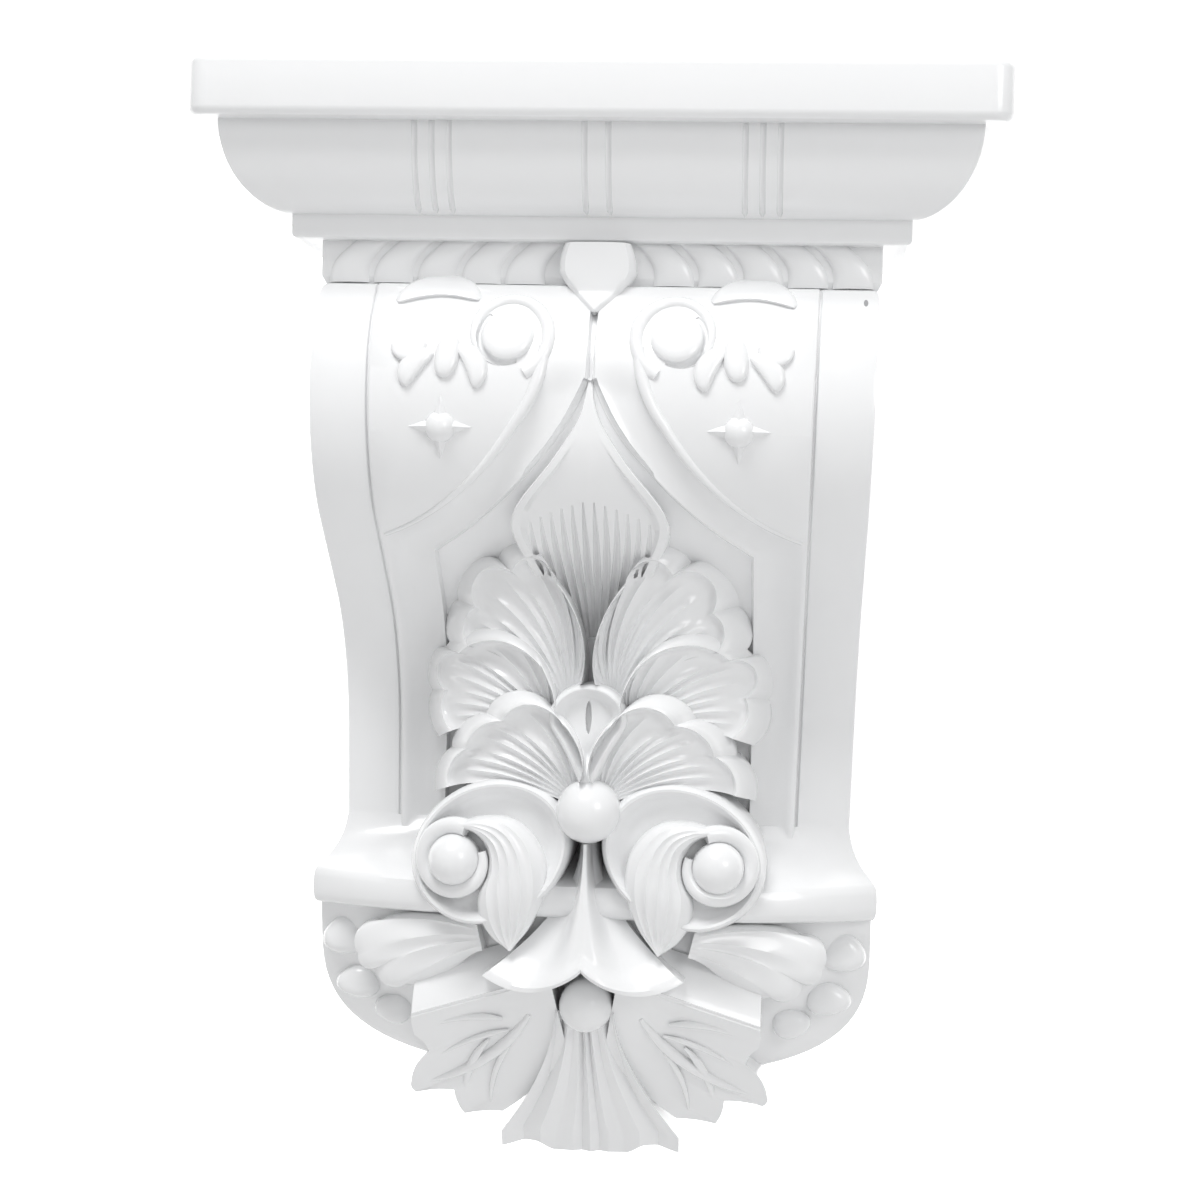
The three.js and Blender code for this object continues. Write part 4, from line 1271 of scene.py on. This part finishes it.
@dataclass
class Scrolls:
    """The two big scrolls: a tilted dish, a fluted mass that winds round an eye, and a ring."""

    dish: tuple[float, float, float, float, float] = (31.0, 246.8, 27.2, 22.2, 0.5)
    eye: tuple[float, float, float, float] = (42.0, 249.4, 60.0, 8.3)
    outer: Sequence[Pair] = (
        (23.2, 278.0), (17.0, 269.6), (12.8, 258.8), (13.0, 248.4), (17.4, 240.4), (24.6, 235.6),
        (34.4, 235.4), (43.4, 238.6), (50.6, 243.4),
    )
    inner: Sequence[Pair] = (
        (24.2, 278.0), (30.0, 273.8), (33.8, 267.6), (34.4, 260.6), (31.6, 254.0), (31.6, 246.6),
        (35.4, 241.2), (42.4, 239.8), (50.0, 244.2),
    )
    rim: Sequence[Pair] = (
        (0.0, -4.6), (0.72, -4.6), (0.8, -3.6), (0.86, -1.2), (0.9, 0.6), (0.94, 0.9), (0.98, -0.6),
        (1.0, -3.4),
    )
    flutes: int = 6
    middle_ball: tuple[float, float, float, float] = (0.6, 232.6, 61.0, 10.2)
    face_depth: float = 61.0
    face_fall: float = 7.0
    face_turn: Pair = (34.0, 58.0)
    flute_depth: float = 0.9
    mass_sink: float = 3.6

    def build(self, shop: Shop, beads: BeadMaker) -> None:
        """Adds both scrolls with their eyes, and the ball over them.

        Args:
            shop: Keeps the pieces.
            beads: Lays the beads and cuts the grooves.
        """
        self.dishes(shop)
        self.masses(shop)
        self.rings(beads)
        x, drop, depth, radius = self.eye
        shop.both("eye", ball(x, drop, depth, radius), 30, Closing.ROUND)
        shop.relief("middle_ball", ball(*self.middle_ball), 30, Closing.ROUND)

    def face(self, x: Numbers) -> np.ndarray:
        """Depth of the scrolls' face, which turns back outwards."""
        return self.face_depth - self.face_fall * smooth(np.abs(x), *self.face_turn)

    def dishes(self, shop: Shop) -> None:
        """The tilted dishes with their rolled rims.

        Args:
            shop: Keeps the pieces.
        """
        x, drop, long, short, tilt = self.dish
        share, turn = polar(26, 64)
        share = share**0.8
        a, b = share * long * np.cos(turn), share * short * np.sin(turn)
        px = x + a * math.cos(tilt) - b * math.sin(tilt)
        pd = drop + a * math.sin(tilt) + b * math.cos(tilt)
        places, rises = zip(*self.rim)
        rim = np.interp(share, places, rises)
        shop.both("scroll_dish", spots(px, pd, self.face(px) + rim), 12, Closing.ROUND)

    def masses(self, shop: Shop) -> None:
        """The fluted masses, from their tails under the dish over its top to the ring.

        Args:
            shop: Keeps the pieces.
        """
        t, across = shares(60, 6 * self.flutes + 1)
        outer, inner = on_spline(self.outer, t), on_spline(self.inner, t)
        x, drop = np.moveaxis(lerp(outer, inner, across[..., None]), -1, 0)
        dome = np.maximum(0, 1 - np.abs(2 * across - 1) ** 2.6) ** 0.5
        height = lerp(2.5, 9.0, smooth(t, 0, 0.35)) - 4.0 * smooth(t, 0.62, 1)
        flute = np.abs(np.sin(math.pi * self.flutes * across)) * self.flute_depth
        hollow = flute * smooth(t, 0.02, 0.12) * (1 - smooth(t, 0.5, 0.85))
        shop.both("scroll_mass", spots(x, drop, self.face(x) - self.mass_sink + (height - hollow) * dome), 35)

    def rings(self, beads: BeadMaker) -> None:
        """The ring that leaves each mass and winds round the eye.

        Args:
            beads: Lays the beads and cuts the grooves.
        """
        x, drop, _depth, radius = self.eye

        def winding(t: Shares) -> np.ndarray:
            """The way round the eye that the ring takes."""
            angle = lerp(-0.62, 1.1, t) * math.pi
            reach = lerp(radius + 2.6, radius + 1.2, t)
            return np.stack([x + reach * np.cos(angle), drop + reach * np.sin(angle)], -1)

        beads.lay_both("eye_ring", winding, lambda px, _pd: self.face(px) + 1.4,
                       Bead((2.9, 2.9, 2.8, 2.6, 2.2, 1.4), steps=60, sides=12))


@dataclass
class Tongue:
    """The tongue under the middle ball, which flares to a two-lobed lip."""

    top: float = 243.0
    lip: float = 283.0
    lobe: float = 7.2
    neck_half_width: float = 2.6
    flare: float = 29.5
    nose_depth: float = 63.0
    nose_rise: float = 4.0
    cheek_fall: float = 9.5
    edge_fall: float = 5.0
    lip_rise: float = 1.8
    lip_round: float = 1.4
    back: float = 20.0

    def build(self, shop: Shop) -> None:
        """Adds the tongue.

        Args:
            shop: Keeps the pieces.
        """
        v, u = shares(34, 49, -1)
        reach = np.abs(u)
        bottom = self.lip + self.lobe * np.sin(math.pi * np.minimum(1, reach / 1.12)) ** 0.8
        half_width = self.neck_half_width + self.flare * v**2
        nose = self.nose_depth + self.nose_rise * v**2
        cheek = self.cheek_fall * smooth(reach, 0.16, 0.6) * (1 - v**3 * 0.8) + self.edge_fall * reach**3
        lip = self.lip_rise * smooth(v, 0.84, 0.95) - self.lip_round * smooth(v, 0.965, 1.0)
        shop.relief("tongue", spots(u * half_width, lerp(self.top, bottom, v), nose - cheek + lip), self.back)


@dataclass
class HangingLeaf:
    """The leaf that hangs from the ledge and slopes back to the wall."""

    side_arcs: Sequence[Arc] = (
        (56.0, 309.0, 0.04), (51.8, 315.0, -0.1), (59.0, 327.0, 0.1), (57.5, 331.0, 0.2),
        (44.8, 329.5, -0.05), (42.0, 338.5, 0.08), (29.0, 337.0, -0.04),
    )
    ribs: Sequence[tuple[Pair, Pair, float, float]] = (
        ((18, 300), (55.5, 327), -0.1, 2.0), ((27, 302), (51, 305.5), 0.08, 1.3),
        ((32, 310), (41.5, 334), 0.1, 1.4), ((25, 306), (48, 316), 0.05, 1.0),
        ((24, 310), (33, 334), 0.08, 1.1),
    )
    crest: tuple[Pair, Pair] = ((11.0, 286.0), (56.5, 301.0))
    inner_foot: Pair = (6.0, 312.0)
    rib_sink: float = 1.7
    lower_ball: tuple[float, float, float, float] = (0.4, 296.0, 50.0, 8.6)
    slope: Pair = (284.0, 356.0)
    depths: Pair = (57.0, 13.0)
    side_dish: float = 3.0
    top_height: float = 15.0
    top_fall: float = 9.0
    top_lap: float = 1.4
    middle_ends: Pair = (298.0, 351.0)
    middle_half_width: float = 9.5
    middle_flare: float = 24.5
    middle_widest: float = 29.8
    middle_ribs: Sequence[Pair] = (
        (0, 1.6), (0.1, -1.8), (0.2, 0.8), (0.38, -0.4), (0.56, 2.2), (0.76, -2.4), (1, 2.6),
    )

    def build(self, shop: Shop, beads: BeadMaker) -> None:
        """Adds the side lobes, their tops and ribs, the middle and the lower ball.

        Args:
            shop: Keeps the pieces.
            beads: Lays the beads and cuts the grooves.
        """
        self.sides(shop)
        self.tops(shop)
        self.middle(shop)
        for number, (start, end, bulge, radius) in enumerate(self.ribs):
            beads.lay_both(f"hanging_rib_{number}",
                           lambda t, a=start, b=end, k=bulge: on_arc(np.array(a), np.array(b), k, t),
                           lambda _x, drop: self.depth(drop) - self.rib_sink,
                           Bead((0.4 * radius, radius, radius, 0.8 * radius, 0.3 * radius), steps=26))
        shop.relief("lower_ball", ball(*self.lower_ball), 20, Closing.ROUND)

    def depth(self, drop: Numbers) -> np.ndarray:
        """Depth of the leaf's face at a drop.

        Args:
            drop: Drops from the board's top.

        Returns:
            The depths.
        """
        start, end = self.slope
        share = smooth(drop, start, end) * 0.55 + 0.45 * np.clip((drop - start) / 66, 0, 1)
        return lerp(*self.depths, share)

    def sides(self, shop: Shop) -> None:
        """The pointed side lobes.

        Args:
            shop: Keeps the pieces.
        """
        v, u = shares(20, len(self.side_arcs) * 8 + 1)
        (x, drop), corner = self.crest
        end = on_arcs(corner, self.side_arcs, u)
        start = np.stack([lerp(x, self.inner_foot[0], u), lerp(drop, self.inner_foot[1], u)], -1)
        x, drop = np.moveaxis(on_arc(start, end, lerp(0.0, -0.06, u), v), -1, 0)
        dish = self.side_dish * np.sin(math.pi * v) * smooth(u, 0, 0.2)
        shop.both("hanging_side", spots(x, drop, self.depth(drop) - dish), 0)

    def tops(self, shop: Shop) -> None:
        """The lit top faces of the side lobes.

        Args:
            shop: Keeps the pieces.
        """
        v, u = shares(12, 24)
        crest = on_arc(*(np.array(end) for end in self.crest), 0.0, u)
        depth = self.depth(crest[..., 1]) - 0.5 - self.top_fall * v**1.4
        drop = crest[..., 1] + self.top_lap - v * self.top_height
        shop.both("hanging_top", spots(crest[..., 0], drop, depth), 4)

    def middle(self, shop: Shop) -> None:
        """The fan in the middle, with ribs that flare to its foot.

        Args:
            shop: Keeps the pieces.
        """
        v, u = shares(30, 73, -1)
        places, rises = zip(*self.middle_ribs)
        number = np.arange(len(places))
        slot = np.abs(u) * number[-1]
        across = np.interp(slot, number, places)
        rise = np.interp(slot, number, rises)
        top, lowest = self.middle_ends
        flare = np.minimum(self.middle_half_width + self.middle_flare * v**1.7, self.middle_widest)
        foot = lowest - 3 * smooth(across, 0.4, 0.62) * (1 - smooth(across, 0.7, 1) * 0.6)
        drop = lerp(top, foot, v)
        depth = self.depth(drop) - 1 + rise * (1 - 0.35 * v)
        shop.relief("hanging_middle", spots(np.sign(u) * across * flare, drop, depth), 0)


@dataclass
class Ledge:
    """The ledge that carries the scrolls, the bowl under it and what hangs at its ends."""

    half_width: float = 93.2
    depth: float = 56.0
    bowl: tuple[float, float, float, float, float] = (262.0, 280.0, 91.6, 45.0, 2.8)
    profile: Sequence[Pair] = (
        (239, 0.0), (243, 0.07), (246, 0.16), (249, 0.3), (251.5, 0.46), (254, 0.68), (256.2, 0.88),
        (257.6, 0.965), (259.4, 0.99), (262, 1.0), (264.5, 0.995), (266.3, 0.97), (267.4, 0.93), (268, 0.87),
    )
    inner_half_width: float = 83.8
    inner_depth: float = 20.5
    fruit_places: Sequence[tuple[float, float, float, float, float]] = (
        (82.5, 279.5, 28.0, 7.6, 6.4), (78.0, 295.0, 25.5, 7.4, 5.6), (66.0, 303.5, 25.0, 6.4, 5.2),
    )
    leaf_start: Pair = (52.0, 270.0)
    leaf_arcs: Sequence[Arc] = (
        (69.0, 272.5, 0.12), (75.8, 283.5, 0.34), (69.5, 288.0, 0.3), (60.0, 293.2, 0.3), (40.0, 284.0, 0.12),
    )

    def build(self, shop: Shop) -> None:
        """Adds the ledge, the bowl, the fruit and the side leaves.

        Args:
            shop: Keeps the pieces.
        """
        self.nose(shop)
        self.bowl_solid(shop)
        self.fruit(shop)
        self.side_leaves(shop)

    def nose(self, shop: Shop) -> None:
        """The ledge: hollow above, with a rounded nose.

        Args:
            shop: Keeps the pieces.
        """
        stations = np.array(self.profile)
        drop = stations[:, :1]
        share = stations[:, 1:]
        across = np.sin(np.linspace(-0.5, 0.5, 61) * math.pi)
        out = self.depth * (1 - 0.46 * (np.abs(across)) ** 3.2)
        x = across * lerp(self.inner_half_width, self.half_width, share)
        shop.relief("ledge", spots(x, drop, lerp(self.inner_depth, out, share)), WALL_OVERLAP)

    def bowl_half_width(self, drop: Numbers) -> np.ndarray:
        """Half-width of the bowl at a drop.

        Args:
            drop: Drops from the board's top.

        Returns:
            The half-widths.
        """
        _top, middle, half, fall, roundness = self.bowl
        share = np.maximum(0, drop - middle) / fall
        return half * np.maximum(0, 1 - share**roundness) ** (1 / roundness)

    def bowl_depth(self, x: Numbers, drop: Numbers) -> np.ndarray:
        """Depth of the bowl.

        Args:
            x: Places across, from the centre line.
            drop: Drops from the board's top.

        Returns:
            The depths.
        """
        top, middle, _half, fall, _roundness = self.bowl
        share = np.minimum(1, np.abs(x) / np.maximum(1, self.bowl_half_width(drop)))
        down = smooth(drop, top, middle + fall)
        return lerp(lerp(48, 26, down), lerp(24, 9, down), share**2.6)

    def bowl_solid(self, shop: Shop) -> None:
        """The rounded bowl.

        Args:
            shop: Keeps the pieces.
        """
        top, middle, _half, fall, _roundness = self.bowl
        drop = lerp(top, middle + fall - 0.4, np.sin(np.linspace(0, 1, 26) * math.pi / 2))[:, None]
        across = np.sin(np.linspace(-0.5, 0.5, 41) * math.pi)
        x = across * self.bowl_half_width(drop)
        shop.relief("bowl", spots(x, drop, self.bowl_depth(x, drop)), WALL_OVERLAP)

    def fruit(self, shop: Shop) -> None:
        """The worn fruit on each end of the bowl.

        Args:
            shop: Keeps the pieces.
        """
        share, turn = polar(12, 32)
        rise = -1.5 + 4.2 * np.sqrt(np.maximum(0, 1 - share**3))
        for number, (x, drop, depth, across, down) in enumerate(self.fruit_places):
            wave = 1 + 0.06 * np.sin(3 * turn + number)
            px = x + across * share * wave * np.cos(turn)
            pd = drop + down * share * wave * np.sin(turn)
            shop.both(f"fruit_{number}", spots(px, pd, depth + rise), 15, Closing.ROUND)

    def side_leaves(self, shop: Shop) -> None:
        """The lobed leaf under each end of the ledge.

        Args:
            shop: Keeps the pieces.
        """
        lobes = len(self.leaf_arcs)
        v, u = shares(24, lobes * 12 + 1)
        end = on_arcs(self.leaf_start, self.leaf_arcs, u)
        start = np.stack([lerp(35, 33, u), lerp(271, 279, u)], -1)
        x, drop = np.moveaxis(on_arc(start, end, 0.06, v), -1, 0)
        vein = 1.3 * np.abs(np.sin(math.pi * u * lobes)) * np.sin(math.pi * np.minimum(1, v * 1.1))
        dome = 3 * np.sqrt(np.maximum(0, 1 - v**4)) - vein
        shop.both("side_leaf", spots(x, drop, lerp(51, 40, v) + dome), 8)


class Maker(Nodes):
    """Builds a material's nodes."""

    def __init__(self, name: str) -> None:
        """Opens a material with a Principled shader.

        Args:
            name: Name of the material.
        """
        self.material = bpy.data.materials.new(name)
        self.material.use_nodes = True
        self.tree = self.material.node_tree
        self.shader = self.tree.nodes["Principled BSDF"]

    def value(self, socket: bpy.types.NodeSocket) -> "Value":
        """A socket as a value to calculate with."""
        return Value(self, socket)

    def feed(self, name: str, source: "Value | bpy.types.NodeSocket") -> None:
        """Links a value or socket to one of the shader's sockets."""
        socket = source.socket if isinstance(source, Value) else source
        self.tree.links.new(socket, self.shader.inputs[name])


class Value:
    """A number that varies over a surface."""

    def __init__(self, maker: Maker, socket: bpy.types.NodeSocket) -> None:
        """Wraps the socket that carries the number."""
        self.maker = maker
        self.socket = socket

    def maths(self, operation: str, first: "Value | float", second: "Value | float") -> "Value":
        """A Math node on two numbers or values."""
        made = self.maker.node("ShaderNodeMath", {"operation": operation}, n0=first, n1=second)
        return Value(self.maker, made.outputs[0])

    def __add__(self, other: "Value | float") -> "Value":
        """This plus the other."""
        return self.maths("ADD", self, other)

    def __radd__(self, other: "Value | float") -> "Value":
        """The other plus this."""
        return self.maths("ADD", other, self)

    def __sub__(self, other: "Value | float") -> "Value":
        """This less the other."""
        return self.maths("SUBTRACT", self, other)

    def __rsub__(self, other: "Value | float") -> "Value":
        """The other less this."""
        return self.maths("SUBTRACT", other, self)

    def __mul__(self, other: "Value | float") -> "Value":
        """This times the other."""
        return self.maths("MULTIPLY", self, other)

    def __rmul__(self, other: "Value | float") -> "Value":
        """The other times this."""
        return self.maths("MULTIPLY", other, self)

    def below(self, limit: float) -> "Value":
        """One where the value is under the limit, else zero."""
        return self.maths("LESS_THAN", self, limit)


@dataclass(frozen=True)
class GlossWhite:
    """White gloss paint: a faint unevenness in tint and sheen, a fine grain and small marks."""

    colour: tuple[float, float, float] = (0.87, 0.875, 0.88)
    dull_colour: tuple[float, float, float] = (0.83, 0.835, 0.845)
    mark_colour: tuple[float, float, float] = (0.35, 0.35, 0.36)
    mark_slimness: float = 3.0
    cloud_scale: float = 18.0
    grain_scale: float = 420.0
    roughness: float = 0.24
    roughness_spread: float = 0.06
    bump: float = 0.12
    bump_height: float = 0.0004
    coat: float = 0.35
    coat_roughness: float = 0.08
    marks: Sequence[tuple[float, float, float]] = ((-88.4, 109.5, 1.3), (84.0, 71.5, 1.2))

    def build(self) -> bpy.types.Material:
        """The material.

        Returns:
            The material.
        """
        maker = Maker("white_gloss")
        place = maker.node("ShaderNodeTexCoord").outputs["Object"]
        cloud_noise = maker.node("ShaderNodeTexNoise", Vector=place, Scale=self.cloud_scale, Detail=3.0)
        grain_noise = maker.node("ShaderNodeTexNoise", Vector=place, Scale=self.grain_scale, Detail=2.0)
        cloud, grain = maker.value(cloud_noise.outputs[0]), maker.value(grain_noise.outputs[0])
        tint = maker.node("ShaderNodeMix", {"data_type": "RGBA"}, Factor=cloud * 0.5)
        tint.inputs[6].default_value = (*self.colour, 1)
        tint.inputs[7].default_value = (*self.dull_colour, 1)
        parts = maker.node("ShaderNodeSeparateXYZ", Vector=place)
        across, height = (maker.value(parts.outputs[name]) for name in ("X", "Z"))
        colour = tint.outputs[2]
        for x, drop, radius in self.marks:
            aside = across - x * MM
            above = height - (BOARD_TOP - drop) * MM
            marked = (aside * aside * self.mark_slimness + above * above).below((radius * MM) ** 2)
            mark = maker.node("ShaderNodeMix", {"data_type": "RGBA"}, Factor=marked)
            maker.tree.links.new(colour, mark.inputs[6])
            mark.inputs[7].default_value = (*self.mark_colour, 1)
            colour = mark.outputs[2]
        maker.feed("Base Color", colour)
        least = self.roughness - self.roughness_spread / 2
        maker.feed("Roughness", cloud * self.roughness_spread + least)
        bump = maker.node("ShaderNodeBump", Strength=self.bump, Distance=self.bump_height,
                          Height=grain * 0.4 + cloud * 0.6)
        maker.feed("Normal", bump.outputs[0])
        maker.shader.inputs["Coat Weight"].default_value = self.coat
        maker.shader.inputs["Coat Roughness"].default_value = self.coat_roughness
        return maker.material


@dataclass
class Corbel:
    """The whole corbel as one moulded piece."""

    smooth_angle: float = math.radians(38)
    wall_low: tuple[float, float, float] = (-400.0, -100.0, -80.0)
    wall_high: tuple[float, float, float] = (400.0, 500.0, 0.0)

    def build(self) -> bpy.types.Object:
        """Builds, joins, cuts and dresses the corbel.

        Returns:
            The finished piece.
        """
        finish = GlossWhite().build()
        shop = Shop()
        beads, row = BeadMaker(shop, finish), RowTree()
        shelf = Shelf()
        steps: tuple[tuple[str, Callable[[], None]], ...] = (
            ("shelf", lambda: shelf.build(shop, row, finish)),
            ("frieze", lambda: Frieze(shelf).build(shop, row, finish)),
            ("straps", lambda: Straps().build(shop, beads)),
            ("palmette", lambda: Palmette().build(shop, beads)),
            ("leaves", lambda: Leaves().build(shop)),
            ("scrolls", lambda: Scrolls().build(shop, beads)),
            ("tongue", lambda: Tongue().build(shop)),
            ("hanging leaf", lambda: HangingLeaf().build(shop, beads)),
            ("ledge", lambda: Ledge().build(shop)),
        )
        for name, step in steps:
            step()
            log.info("built the %s", name)
        shop.box("wall", self.wall_low, self.wall_high, cut=True)
        mesh = shop.joined("moulded_corbel")
        mesh.materials.clear()
        mesh.materials.append(finish)
        mesh.shade_smooth()
        mesh.set_sharp_from_angle(angle=self.smooth_angle)
        piece = bpy.data.objects.new("moulded_corbel", mesh)
        bpy.context.scene.collection.objects.link(piece)
        mesh.calc_loop_triangles()
        log.info("moulded_corbel has %d triangles", len(mesh.loop_triangles))
        return piece


@dataclass(frozen=True)
class Lamp:
    """A soft square lamp that faces the corbel."""

    name: str
    place: tuple[float, float, float]
    size: float
    power: float


@dataclass
class Studio:
    """The camera, the lights, and the pale floor and backdrop."""

    focal: float = 2448.565
    frame_width: float = 1200.0
    sensor: float = 36.0
    yaw: float = 0.0841
    pitch: float = 0.0019
    roll: float = 0.0250
    camera_place: tuple[float, float, float] = (67.85, -834.24, 9.415)
    nearest: float = 0.05
    sky: float = 0.56
    floor: float = -0.42
    backdrop: float = 2.6
    cove: float = 0.8
    reach: float = 6.0
    floor_colour: tuple[float, float, float] = (0.7, 0.7, 0.7)
    floor_roughness: float = 0.9
    glow_start: float = 0.45
    glow_full: float = 0.85
    lamps: Sequence[Lamp] = field(default_factory=lambda: (
        Lamp("top_lamp", (-0.25, -0.75, 1.3), 0.6, 13.0),
        Lamp("right_lamp", (0.9, -1.1, 0.5), 0.5, 3.5),
    ))

    def build(self) -> None:
        """Sets the camera, the lights and the stage."""
        self.camera()
        for lamp in self.lamps:
            self.lamp(lamp)
        self.world()
        self.stage()
        bpy.context.scene.view_settings.view_transform = "Standard"

    def camera(self) -> None:
        """The camera at the photograph's viewpoint."""
        forward = Vector((
            -math.sin(self.yaw) * math.cos(self.pitch), math.cos(self.yaw) * math.cos(self.pitch),
            math.sin(self.pitch),
        ))
        level = Vector((math.cos(self.yaw), math.sin(self.yaw), 0))
        upright = level.cross(forward)
        right = math.cos(self.roll) * level + math.sin(self.roll) * upright
        up = -math.sin(self.roll) * level + math.cos(self.roll) * upright
        matrix = Matrix((right, up, -forward)).transposed().to_4x4()
        matrix.translation = Vector(self.camera_place) * MM
        camera = bpy.data.objects.new("camera", bpy.data.cameras.new("camera"))
        bpy.context.scene.collection.objects.link(camera)
        camera.matrix_world = matrix
        camera.data.sensor_width = self.sensor
        camera.data.lens = self.focal * self.sensor / self.frame_width
        camera.data.clip_start = self.nearest
        bpy.context.scene.camera = camera

    @staticmethod
    def lamp(lamp: Lamp) -> None:
        """Adds one soft lamp.

        Args:
            lamp: The lamp's place, size and power.
        """
        light = bpy.data.lights.new(lamp.name, "AREA")
        light.size = lamp.size
        light.energy = lamp.power
        made = bpy.data.objects.new(lamp.name, light)
        bpy.context.scene.collection.objects.link(made)
        made.location = lamp.place
        made.rotation_euler = (-Vector(lamp.place)).to_track_quat("-Z", "Y").to_euler()

    def world(self) -> None:
        """The even white surroundings."""
        world = bpy.data.worlds.new("surroundings")
        world.use_nodes = True
        background = world.node_tree.nodes["Background"]
        background.inputs["Color"].default_value = (1, 1, 1, 1)
        background.inputs["Strength"].default_value = self.sky
        bpy.context.scene.world = world

    def stage(self) -> None:
        """The pale floor, which turns up into a backdrop and is lit behind the corbel."""
        turn = np.linspace(0, math.pi / 2, 16)
        radius, back, floor, reach = self.cove, self.backdrop, self.floor, self.reach
        y = np.concatenate([[-reach], back - radius + radius * np.sin(turn), [back]])
        z = np.concatenate([[floor], floor + radius * (1 - np.cos(turn)), [reach]])
        points = [(x, a, b) for a, b in zip(y, z) for x in (-reach, reach)]
        mesh = bpy.data.meshes.new("floor")
        mesh.from_pydata(points, [], [(2 * i, 2 * i + 1, 2 * i + 3, 2 * i + 2) for i in range(len(y) - 1)])
        mesh.shade_smooth()
        floor_piece = bpy.data.objects.new("floor", mesh)
        bpy.context.scene.collection.objects.link(floor_piece)
        maker = Maker("pale_floor")
        maker.shader.inputs["Base Color"].default_value = (*self.floor_colour, 1)
        maker.shader.inputs["Roughness"].default_value = self.floor_roughness
        place = maker.node("ShaderNodeTexCoord").outputs["Object"]
        away = maker.node("ShaderNodeSeparateXYZ", Vector=place).outputs["Y"]
        glow = maker.node("ShaderNodeMapRange", {"interpolation_type": "SMOOTHSTEP"}, Value=away,
                          From_Min=self.glow_start, From_Max=self.glow_full)
        tint = maker.node("ShaderNodeMix", {"data_type": "RGBA"}, Factor=glow.outputs[0])
        tint.inputs[6].default_value = (0, 0, 0, 1)
        tint.inputs[7].default_value = (1, 1, 1, 1)
        maker.feed("Emission Color", tint.outputs[2])
        maker.shader.inputs["Emission Strength"].default_value = 1.0
        mesh.materials.append(maker.material)


def main() -> None:
    """Builds the corbel and the studio."""
    logging.basicConfig(level=logging.INFO, format="%(name)s: %(message)s")
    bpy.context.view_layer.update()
    piece = Corbel().build()
    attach(piece, "root")
    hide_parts(NODE)
    Studio().build()
    log.info("sizes written")


if __name__ == "__main__":
    main()
